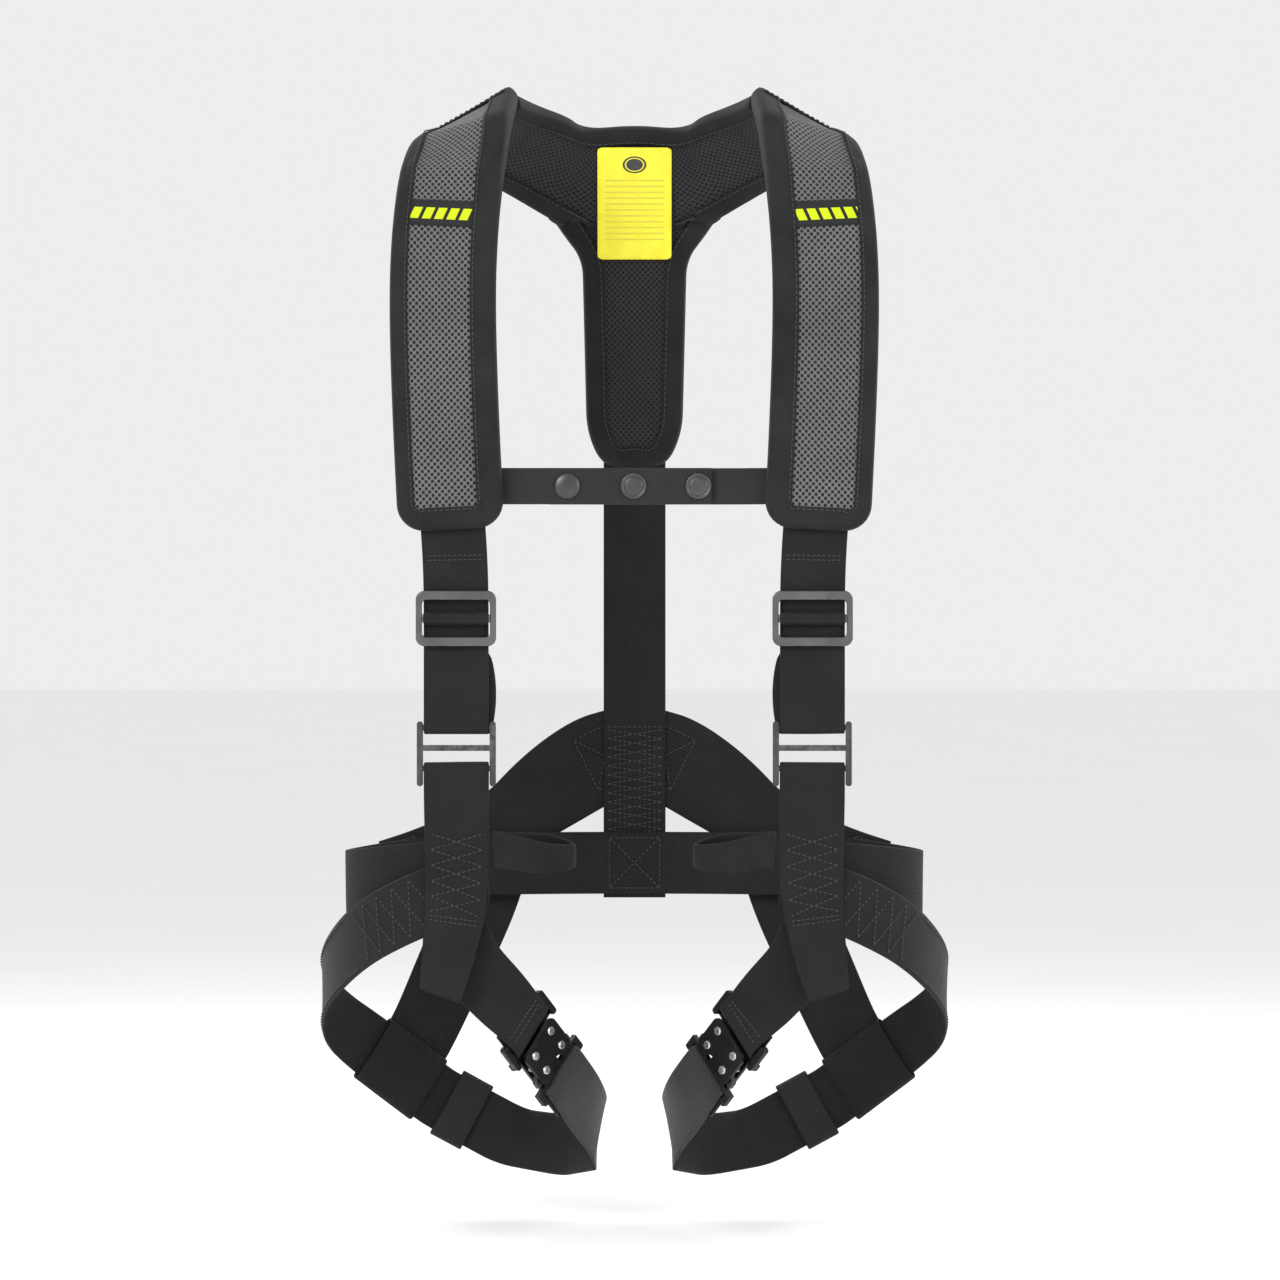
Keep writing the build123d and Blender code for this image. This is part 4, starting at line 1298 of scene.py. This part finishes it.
for side in SIDES:
    sign = -1 if side == "left" else 1
    name = f"back_strap_web_{side}"
    vee = strap(name, f"back_strap_{side}", wide=0.060, hint=BACK, lift=0.0006 * sign, shape=flared)
    sewn = Thread()
    for lift in (STITCH_LIFT, -STITCH_LIFT):
        sewn.box(vee, lift, 0.004, 0.034, half=0.020)
        sewn.box(vee, lift, vee.length - 0.030, vee.length - 0.004, half=0.018)
    sewn.done(f"back_strap_stitches_{side}")
    caps = [0.03] * 7 + [0.012] * 4
    hint = (sign, -0.4, 0)
    name, node = f"leg_web_back_{side}", f"leg_web_rear_{side}"
    rear = strap(name, node, cap=caps, hint=hint, look="satin", shape=tucked)
    begin, end = reach_along(f"keeper_{side}", rear)
    keeper_run = (begin - KEEPER_TRAVEL, end + KEEPER_TRAVEL)
    wrap_band(f"keeper_band_{side}", f"keeper_{side}", rear, begin, end, **KEEPER_BAND)
    begin, end = reach_along(f"riser_strap_{side}", rear)
    wrap_band(f"riser_hem_{side}", None, rear, begin, end, **RISER_HEM)

    riser_line = on_to_hem(strap_path(f"riser_strap_{side}", 0.052), rear, begin, end, sign)
    web_piece(f"riser_web_{side}", f"riser_strap_{side}", riser_line)
    sewn = Thread()
    sewn.rows(riser_line, (riser_line.length - 0.004, riser_line.length - 0.009), half=0.023)
    sewn.done(f"riser_stitches_{side}")

    hip = strap(f"hip_web_strap_{side}", f"hip_web_{side}", cap=0.045)
    face = 1 if hip.at(0, hip.length * 0.8)[1].y < 0 else -1
    top = next(v for v, c in zip(hip.run, hip.centre) if c.z < HIP_SEAM_TOP and v > 0.06)
    sewn = Thread()
    sewn.zigzag(hip, face * STITCH_LIFT, top, top + 0.055, half=0.018)
    sewn.rows(hip, (top + 0.058, top + 0.061), half=0.018, faces=(face,))
    sewn.done(f"hip_stitches_{side}")
    sewn = Thread()
    for lift in (STITCH_LIFT, -STITCH_LIFT):
        sewn.zigzag(rear, lift, 0.008, 0.089, half=0.0185, pitch=0.0135)
    edge_rows(sewn, rear, STITCH_LIFT, 0.1, keeper_run[0])
    edge_rows(sewn, rear, STITCH_LIFT, keeper_run[1], rear.length - 0.02)
    sewn.done(f"leg_stitches_{side}")

    upper = strap_path(f"upper_leg_strap_{side}")
    flip = Vector((-sign, 1, 1))
    upper = round_bar(upper, BUCKLE_BAR * flip, BUCKLE_ALONG * flip, BUCKLE_OUT * flip)
    upper = upper.smooth(0.02, 0.002)
    web_piece(f"upper_leg_web_{side}", f"upper_leg_strap_{side}", upper)
    face = 1 if upper.normal[0].y < 0 else -1
    sewn = Thread()
    sewn.rows(upper, (upper.length - 0.036, upper.length - 0.040), half=0.018, faces=(face,))
    sewn.done(f"upper_leg_stitches_{side}")

    front = to_fold(strap_path(f"leg_web_front_{side}"), rear).smooth(0.03)
    front_web = web(f"front_leg_web_{side}", front, "gloss")
    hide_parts(f"leg_web_front_{side}")
    low = min(front.centre, key=lambda c: c.z)
    high = max(front.centre, key=lambda c: c.z)
    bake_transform(front_web)
    declare_sheet(front)

    loop = twisted(ring_path(f"side_loop_{side}", 2).smooth(0.01).moved(-0.001), sign * -1)
    web_piece(f"side_loop_web_{side}", f"side_loop_{side}", loop, thick=0.002, waver=0.0006)

    wrap = ring_path(f"adjuster_wrap_{side}", 0).smooth(0.01, 0.001).moved(-0.0008)
    web_piece(f"adjuster_web_{side}", f"adjuster_wrap_{side}", wrap, thick=0.0016, waver=0.0001)

tether = ring_path("dorsal_loop", 0).smooth(0.01).moved(-0.001)
shape = {"look": "satin", "thick": 0.002, "waver": 0.0004}
web_piece("dorsal_loop_web", "dorsal_loop", tether, held="hung", **shape)


# ---- Chest strap and snaps


CHEST_TAB = 0.0285  # how far each tab runs out under its pad


def chest_half(side, sign):
    """One half of the chest strap, with the tab that runs out under the pad."""
    line = strap_path(f"chest_strap_{side}", 0.025)
    tab = Vector((sign * CHEST_TAB, 0, 0))
    starts_outside = line.centre[0].x * sign > line.centre[-1].x * sign
    for edge in (line.left, line.right):
        if starts_outside:
            edge.insert(0, edge[0] + tab)
        else:
            edge.append(edge[-1] + tab)
    line = Path(line.left, line.right, Vector(FRONT)).smooth(0.02, 0.002)
    obj = web(f"chest_web_{side}", line, "chest", 0.0016, waver=0.0004)
    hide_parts(f"chest_strap_{side}", "chest_tabs")
    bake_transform(obj)
    declare_sheet(line)
    return line


chest_lines = {side: chest_half(side, sign) for side, sign in (("left", -1), ("right", 1))}
sewn = Thread()
line = chest_lines["left"]
face = 1 if line.normal[0].y < 0 else -1
inner = line.length - 0.004 if line.centre[-1].x > line.centre[0].x else 0.004
for step in (0.0, 0.007):
    at = inner - step if inner > 0.01 else inner + step
    sewn.line(line, [(-0.0105, at), (0.0105, at)], face * 0.0009, pitch=0.003)
sewn.done("chest_stitches", "chest_left")


def turned(mesh, centre, axis, profile, turns=48):
    """A lathe-turned solid: profile is (radius, height along axis) from the axis outwards."""
    side = axis.orthogonal().normalized()
    other = axis.cross(side)
    loft(mesh, [circle(centre + axis * height, side, other, radius, turns) for radius, height in profile])


def loose_parts(node):
    """The low and high corner of each separate solid of a node."""
    mesh = welded(node)
    seen, boxes = set(), []
    for first in mesh.verts:
        if first in seen:
            continue
        seen.add(first)
        stack, group = [first], []
        while stack:
            v = stack.pop()
            group.append(v.co.copy())
            fresh = [e.other_vert(v) for e in v.link_edges if e.other_vert(v) not in seen]
            seen.update(fresh)
            stack += fresh
        low = Vector([min(c[k] for c in group) for k in range(3)])
        high = Vector([max(c[k] for c in group) for k in range(3)])
        boxes.append((low, high))
    mesh.free()
    return boxes


# Snap caps in profile, as shares of their radius and height: the left one is a plain dome
SNAP_RIM = [(0.2, 0.0), (1.0, 0.0), (1.0, 0.28)]
DOMED_CAP = [(0.98 * math.cos(a), 0.28 + 0.72 * math.sin(a)) for a in np.linspace(0.2, 1.55, 10)]
RINGED_CAP = [(0.97, 0.45), (0.90, 0.52), (0.82, 0.48), (0.78, 0.34), (0.74, 0.40)]
RINGED_CAP += [(0.68, 0.62), (0.56, 0.74), (0.40, 0.70), (0.2, 0.66), (0.02, 0.65)]


def snaps(line):
    """Snap caps on the strap's front, and the sockets behind it."""
    mesh = bmesh.new()
    out = Vector(FRONT)
    strap_front = line.centre[len(line.centre) // 2].y - 0.0008
    for low, high in loose_parts("snap_caps"):
        middle = (low + high) / 2
        radius = (high.x - low.x) / 2
        if low.y < strap_front - 0.001:
            base = Vector((middle.x, strap_front, middle.z))
            tall = strap_front - low.y
            shape = DOMED_CAP if middle.x < -0.02 else RINGED_CAP
            turned(mesh, base, out, [(radius * r, tall * h) for r, h in SNAP_RIM + shape])
        else:
            base = Vector((middle.x, low.y, middle.z))
            deep = high.y - low.y
            bore = 0.0032
            profile = [(bore, 0.0), (radius * 0.85, 0.0), (radius, deep * 0.2)]
            profile += [(radius, deep * 0.75), (radius * 0.9, deep), (0.0036, deep)]
            profile += [(0.0033, deep * 0.9), (bore, deep * 0.5)]
            turned(mesh, base, -out, profile)
    bmesh.ops.recalc_face_normals(mesh, faces=mesh.faces)
    fit_piece(place("snap_cap_set", mesh, "snap"), "snap_caps")


snaps(chest_lines["left"])


def coils():
    """The small coil springs behind the release clips."""
    mesh = bmesh.new()
    for low, high in loose_parts("buckle_springs"):
        middle = (low + high) / 2
        sign = -1 if middle.x < 0 else 1
        axis = Vector((-sign * 0.453, 0.515, 0.726)).normalized()
        side = axis.orthogonal().normalized()
        other = axis.cross(side)
        turns, steps = 5, 14
        long, coil, wire = 0.0042, 0.0015, 0.0003
        rings = []
        for k in range(turns * steps + 1):
            a = 2 * math.pi * k / steps
            radial = side * math.cos(a) + other * math.sin(a)
            centre = middle + axis * (long * (k / (turns * steps) - 0.5)) + radial * coil
            rings.append(circle(centre, radial, axis, wire, 6))
        loft(mesh, rings)
    bmesh.ops.recalc_face_normals(mesh, faces=mesh.faces)
    fit_piece(place("spring_coils", mesh, "steel"), "buckle_springs")


coils()


# ---- Hardware kept from the CAD


def dress(node, look, radius):
    """Softens a kept node's edges and gives it its look."""
    obj = nodes[node]
    obj.data.materials.clear()
    obj.data.materials.append(LOOKS[look])
    welding(obj)
    bevelling(obj, radius, 2, 35).harden_normals = True


for side in SIDES:
    for part in ("adjuster_frame", "adjuster_bar"):
        dress(f"{part}_{side}", "adjuster", 0.0006)
    dress(f"three_bar_slide_{side}", "metal", 0.0006)
    for part in ("buckle_base_plate", "buckle_cover_plate", "buckle_tongue"):
        dress(f"{part}_{side}", "black_metal", 0.0004)
    for part in ("release_clip_upper", "release_clip_lower"):
        dress(f"{part}_{side}", "metal", 0.0004)
    dress(f"buckle_rivets_{side}", "steel", 0.0003)
dress("snap_studs", "snap", 0.0002)


# ---- Stage


def stage():
    """A pale floor, soft lights and the camera."""
    low, high = cad_box
    floor_z = low.z - 0.03
    mesh = bmesh.new()
    bmesh.ops.create_circle(mesh, cap_ends=True, segments=96, radius=40)
    bmesh.ops.translate(mesh, verts=mesh.verts, vec=(0, 0, floor_z))
    data = bpy.data.meshes.new("studio_floor")
    mesh.to_mesh(data)
    mesh.free()
    floor_look = Look("pale_paper")
    tone = floor_look.noise(3, 2)
    paper = floor_look.mix(tone, (0.92, 0.92, 0.92, 1), (0.95, 0.95, 0.95, 1))
    grain = floor_look.bump(floor_look.noise(300, 2), 0.0002, 0.1)
    data.materials.append(floor_look.finish(paper, 0.9, grain))
    linked("studio_floor", data)

    bpy.context.scene.view_settings.view_transform = "Standard"
    world = bpy.data.worlds.new("studio")
    bpy.context.scene.world = world
    world.use_nodes = True
    background = world.node_tree.nodes["Background"]
    background.inputs[0].default_value = (1, 1, 1, 1)
    background.inputs[1].default_value = 0.85

    middle = (low + high) / 2
    for name, offset, size, power in (
        ("key", (-1.4, -2.3, 1.3), 1.1, 40),
        ("fill", (1.9, -1.6, 0.7), 1.0, 18),
        ("rim_left", (-1.3, 1.2, 1.1), 0.9, 12),
        ("rim_right", (1.4, 1.1, 0.9), 0.9, 12),
        ("low", (0.2, -1.9, -0.35), 0.8, 2),
    ):
        light = bpy.data.lights.new(name, "AREA")
        light.size = size
        light.energy = power
        lamp = linked(name, light)
        lamp.location = middle + Vector(offset)
        lamp.rotation_euler = (middle - lamp.location).to_track_quat("-Z", "Y").to_euler()

    camera = bpy.data.cameras.new("camera")
    camera.lens = 146.6
    camera.sensor_width = 36
    eye = linked("camera", camera)
    eye.location = (0.0039, -3.657, -0.376)
    eye.rotation_euler = (math.pi / 2, 0, 0)
    bpy.context.scene.camera = eye


stage()
